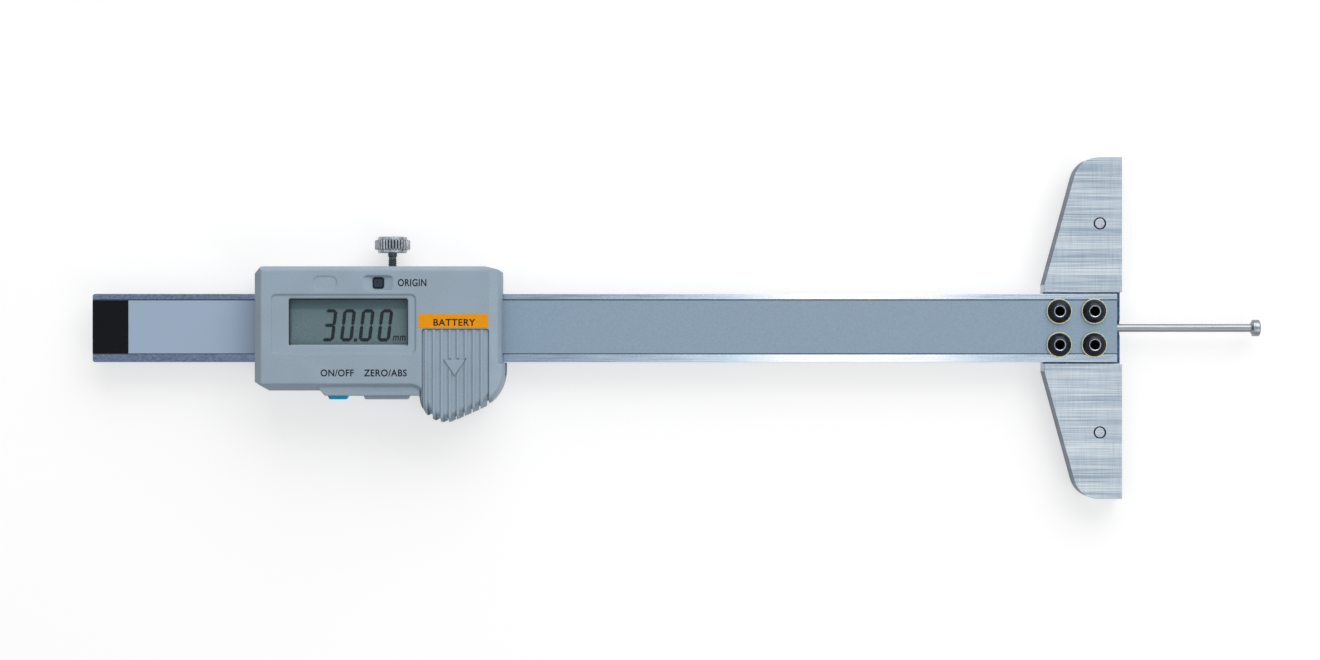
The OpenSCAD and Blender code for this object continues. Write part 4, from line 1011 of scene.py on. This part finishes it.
# %% Tip
tip_low, tip_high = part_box("tip_disc")
TIP_R = (tip_high.y - tip_low.y) / 2 / MM
TIP_T = (tip_high.x - tip_low.x) / MM
steps = [(0, TIP_R * 0.55), (0.12, TIP_R * 0.56), (0.14, TIP_R * 0.66), (0.5, TIP_R - 0.03), (0.54, TIP_R)]
steps += [(TIP_T - 0.3, TIP_R), (TIP_T - 0.27, TIP_R - 0.01), (TIP_T, TIP_R - 0.28), (TIP_T, TIP_R - 0.34)]
tip = turned("tip_finished", 96, steps)
settle(tip, AXES["X"], Matrix.Translation((tip_low.x, 0, 0)))
finish_edges(tip, 0.02, 2, 20)
turned_steel = bright_steel("turned_stainless_steel", "#7A8088", "#9EA3A8", (0.12, 3, 3), 0.26)
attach(dress(tip, turned_steel), "slider")
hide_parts("tip_disc")
rod_steel = bright_steel("drawn_steel_rod", "#86888C", "#9EA0A3", (14, 0.3, 0.3), 0.3, 0.001)
dress(frame["nodes"]["measuring_rod"], rod_steel)
print("tip is", round(TIP_T, 2), "mm thick and", round(2 * TIP_R, 2), "mm across")

# %% [markdown]
# ## Clamp screw
#
# The thumb screw has a straight knurl, rolled in by a toothed wheel, so its ridges are round and
# even. A cylinder with four sides per ridge gives it: two of every four edges are pulled in to
# make the valley. The collars at both ends are extruded from the end faces.

# %% Knurled head
knob_low, knob_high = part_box("clamp_screw")
knob_axis = Vector(((knob_low.x + knob_high.x) / 2, 0, (knob_low.z + knob_high.z) / 2))
KNOB_R, KNOB_H, COLLAR_R, COLLAR_H = 4.15, 3.8, 3.45, 0.75
RIDGES, KNURL_DEEP = 34, 0.34
band_low, band_high = COLLAR_H, KNOB_H - COLLAR_H
KNOB_EDGE = 0.2
steps = [(band_low, KNOB_R - KNOB_EDGE), (band_low + KNOB_EDGE, KNOB_R)]
steps += [(band_high - KNOB_EDGE, KNOB_R), (band_high, KNOB_R - KNOB_EDGE)]
knob = turned("knob", 4 * RIDGES, steps)


def in_valley(vertex):
    """True for two of every four vertices round the band, where its radius is full."""
    turn = math.degrees(math.atan2(vertex.co.y, vertex.co.x)) % 360
    return round(turn / (90 / RIDGES)) % 4 in (2, 3) and vertex.co.xy.length > (KNOB_R - 0.1) * MM


pick(knob, "VERT", in_valley)
share = 1 - KNURL_DEEP / KNOB_R
bpy.ops.transform.resize(value=(share, share, 1), center_override=(0, 0, 0))
bpy.ops.object.mode_set(mode="OBJECT")
finish_edges(knob, 0.05, 2, 25, 30)
collars = [
    turned("collar_low", 96, [(0, COLLAR_R - 0.25), (0.12, COLLAR_R), (COLLAR_H + 0.3, COLLAR_R)]),
    turned("collar_high", 96, [(KNOB_H - COLLAR_H - 0.3, COLLAR_R), (KNOB_H - 0.2, COLLAR_R),
                               (KNOB_H, COLLAR_R - 0.2), (KNOB_H, 1.6), (KNOB_H - 0.25, 1.3)]),
]
for collar in collars:
    finish_edges(collar, 0.04, 2, 25)
print("knurl has", RIDGES, "ridges")

# %% [markdown]
# The shank's thread is a real helix: a small triangle is swept by the Screw modifier, one turn
# every 0.45 mm, round a plain core.

# %% Threaded shank
THREAD_PITCH, CORE_R, CREST_R = 0.45, 0.88, 1.09
shank_foot = (knob_low.y - (knob_high.y - KNOB_H * MM)) / MM
core = turned("core", 48, [(shank_foot, CORE_R - 0.2), (shank_foot + 0.2, CORE_R), (-0.9, CORE_R),
                           (-0.8, CREST_R - 0.03), (0.2, CREST_R - 0.03)])
finish_edges(core, 0.02, 1, 25)
bpy.ops.mesh.primitive_circle_add(vertices=3, radius=0.25 * MM, fill_type="NOTHING")
ridge = newest("thread")
thread_start = Vector((CREST_R - 0.25, 0, shank_foot + 0.3)) * MM
settle(ridge, Matrix.Rotation(math.radians(-90), 4, "Z"), Matrix.Diagonal((1, 0.85, 1, 1)),
       Matrix.Rotation(math.radians(90), 4, "X"), Matrix.Translation(thread_start))
turns = int((-0.95 - shank_foot - 0.5) / THREAD_PITCH)
sweep = ridge.modifiers.new("helix", "SCREW")
sweep.screw_offset = THREAD_PITCH * MM
sweep.iterations = turns
sweep.steps = 40
sweep.render_steps = 40
make_active(ridge)
bpy.ops.object.modifier_apply(modifier=sweep.name)
pick(ridge, "EDGE", lambda edge: edge.is_boundary)
bpy.ops.mesh.edge_face_add()
bpy.ops.object.mode_set(mode="OBJECT")
turn_outwards(ridge)
bpy.ops.object.shade_smooth_by_angle(angle=math.radians(40))
print("thread has", turns, "turns")

# %% [markdown]
# The ridges of the knurl are bright and its valleys darker, so the colour follows the distance from the
# screw's axis. The pieces are then joined and laid along +Y in the slider.


# %% Screw together and place
def knurled_steel(name):
    """Rolled steel: bright ridges over darker valleys, told apart by the distance from the axis."""
    material, tree = blank(name)
    place = add(tree, "TexCoord").outputs["Object"]
    offset = add(tree, "VectorMath", {0: place, 1: knob_axis}, operation="SUBTRACT")
    flat = add(tree, "VectorMath", {0: offset.outputs[0], 1: (1, 0, 1)}, operation="MULTIPLY")
    distance = add(tree, "VectorMath", {0: flat.outputs[0]}, operation="LENGTH").outputs["Value"]
    grime = specks(tree, (0.3, 0.5, 0.3), 2.0)
    bright = shade(tree, grime, "#8D939B", "#B9BFC6", 0.3, 0.7)
    # Darker in the valleys, by the distance from the axis.
    tone = shade(tree, distance, "#3C4048", bright, (KNOB_R - KNURL_DEEP) * MM, (KNOB_R - 0.1) * MM)
    past_collar = level(tree, distance, 0.0, 1.0, (COLLAR_R + 0.1) * MM, (COLLAR_R + 0.15) * MM)
    colour = add(tree, "Mix", {0: past_collar, 6: bright, 7: tone}, data_type="RGBA").outputs[2]
    sockets = {"Base Color": colour, "Metallic": 1.0, "Roughness": level(tree, grime, 0.2, 0.32)}
    surface(tree, sockets, grime, 0.004)
    return material


knob_steel = knurled_steel("rolled_knurl_steel")
shank_steel = bright_steel("oiled_thread_steel", "#353B42", "#6A7075", (0.4, 0.2, 0.4), 0.3)
for part in (knob, *collars, core, ridge):
    dress(part, knob_steel, shank_steel)
for part in (core, ridge):
    for face in part.data.polygons:
        face.material_index = 1
thumb_screw = joined("clamp_screw_finished", [knob, *collars, core, ridge])
settle(thumb_screw, AXES["Y"], Matrix.Translation(knob_axis + Vector((0, knob_high.y - KNOB_H * MM, 0))))
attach(thumb_screw, "clamp_screw")
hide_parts("clamp_screw")
print("thumb screw has", len(thumb_screw.data.polygons), "faces")

# %% [markdown]
# ## Pieces inside and behind
#
# These show only from behind, at the ends of the slider, or when the gauge is taken apart. Each
# still gets the finish of its real material.

# %% Metals and plastics inside
INNER = {
    "slider_frame": bright_steel("die_cast_zinc", "#7C858F", "#98A1AA", (0.4, 0.4, 0.4), 0.42, 0.01),
    "gib_strip": bright_steel("rolled_brass", "#B08B45", "#CDA75E", (8, 0.2, 0.2), 0.3),
    "rod_holder": bright_steel("milled_brass", "#AE8842", "#C9A35A", (0.2, 3, 3), 0.3),
    "clamp_shoe": bright_steel("turned_brass", "#AB853F", "#C8A258", (0.1, 2, 0.1), 0.28),
    "gib_screws": bright_steel("bright_zinc_screw", "#8B9097", "#AFB4B9", (0.3, 0.3, 0.3), 0.3),
    "battery": bright_steel("nickel_plated_can", "#A9ADB0", "#C6C9CB", (6, 6, 0.2), 0.2),
    "crystal": bright_steel("tinned_can", "#A6A9AC", "#C2C5C8", (0.5, 0.5, 0.5), 0.28),
    "board_screws": bright_steel("zinc_plated_screw", "#8E9399", "#B4B8BC", (0.3, 0.3, 0.3), 0.3),
    "battery_contact_plus": bright_steel("nickel_spring_strip", "#A5A295", "#C4C1B4", (4, 0.2, 4), 0.26),
    "scale_strip": moulded_abs("glass_epoxy_laminate", "#33383C", "#43484B", 0.45, 0.5),
    "reading_head": moulded_abs("solder_mask_green", "#1D5A3C", "#27704B", 0.35, 0.5),
    "circuit_board": moulded_abs("circuit_board_green", "#1A5337", "#236647", 0.38, 0.6),
    "processor_chip": moulded_abs("epoxy_chip_black", "#17191C", "#222529", 0.55, 0.2),
    "zebra_strips": moulded_abs("silicone_rubber_pink", "#C79A9C", "#D9B0B0", 0.6, 0.4),
    "lcd_holder": moulded_abs("moulded_white_frame", "#D2D4D2", "#E4E5E3", 0.45),
    "origin_switch": moulded_abs("switch_body_black", "#1C1F22", "#2A2E32", 0.5),
}
SAME = {
    "battery_contact_minus": "battery_contact_plus",
    "side_switches": "origin_switch",
}
for node, finish in INNER.items():
    dress(frame["nodes"][node], finish)
for node, like in SAME.items():
    dress(frame["nodes"][node], INNER[like])
print("inner pieces:", len(INNER) + len(SAME))

# %% [markdown]
# The screws on the back are blackened thinly, and the end stop is blanked from sheet steel.

# %% Fasteners and stop on the back
machine_screw = bright_steel("blackened_machine_screw", "#4A4F56", "#6B7178", (0.3, 0.3, 0.3), 0.32)
for node in ("case_screws", "end_stop_screws", "rod_holder_screws"):
    dress(softened(node, 0.04), machine_screw)
plate_steel = bright_steel("blanked_steel_plate", "#9AA3AC", "#BCC4CB", (6, 0.3, 6), 0.3)
dress(softened("end_stop", 0.05), plate_steel)
print("back fasteners are done")

# %% [markdown]
# ## The end

# %% [markdown]
# The view transform is set to Standard, so that colours render as they are written.

# %% View transform
bpy.context.scene.view_settings.view_transform = "Standard"
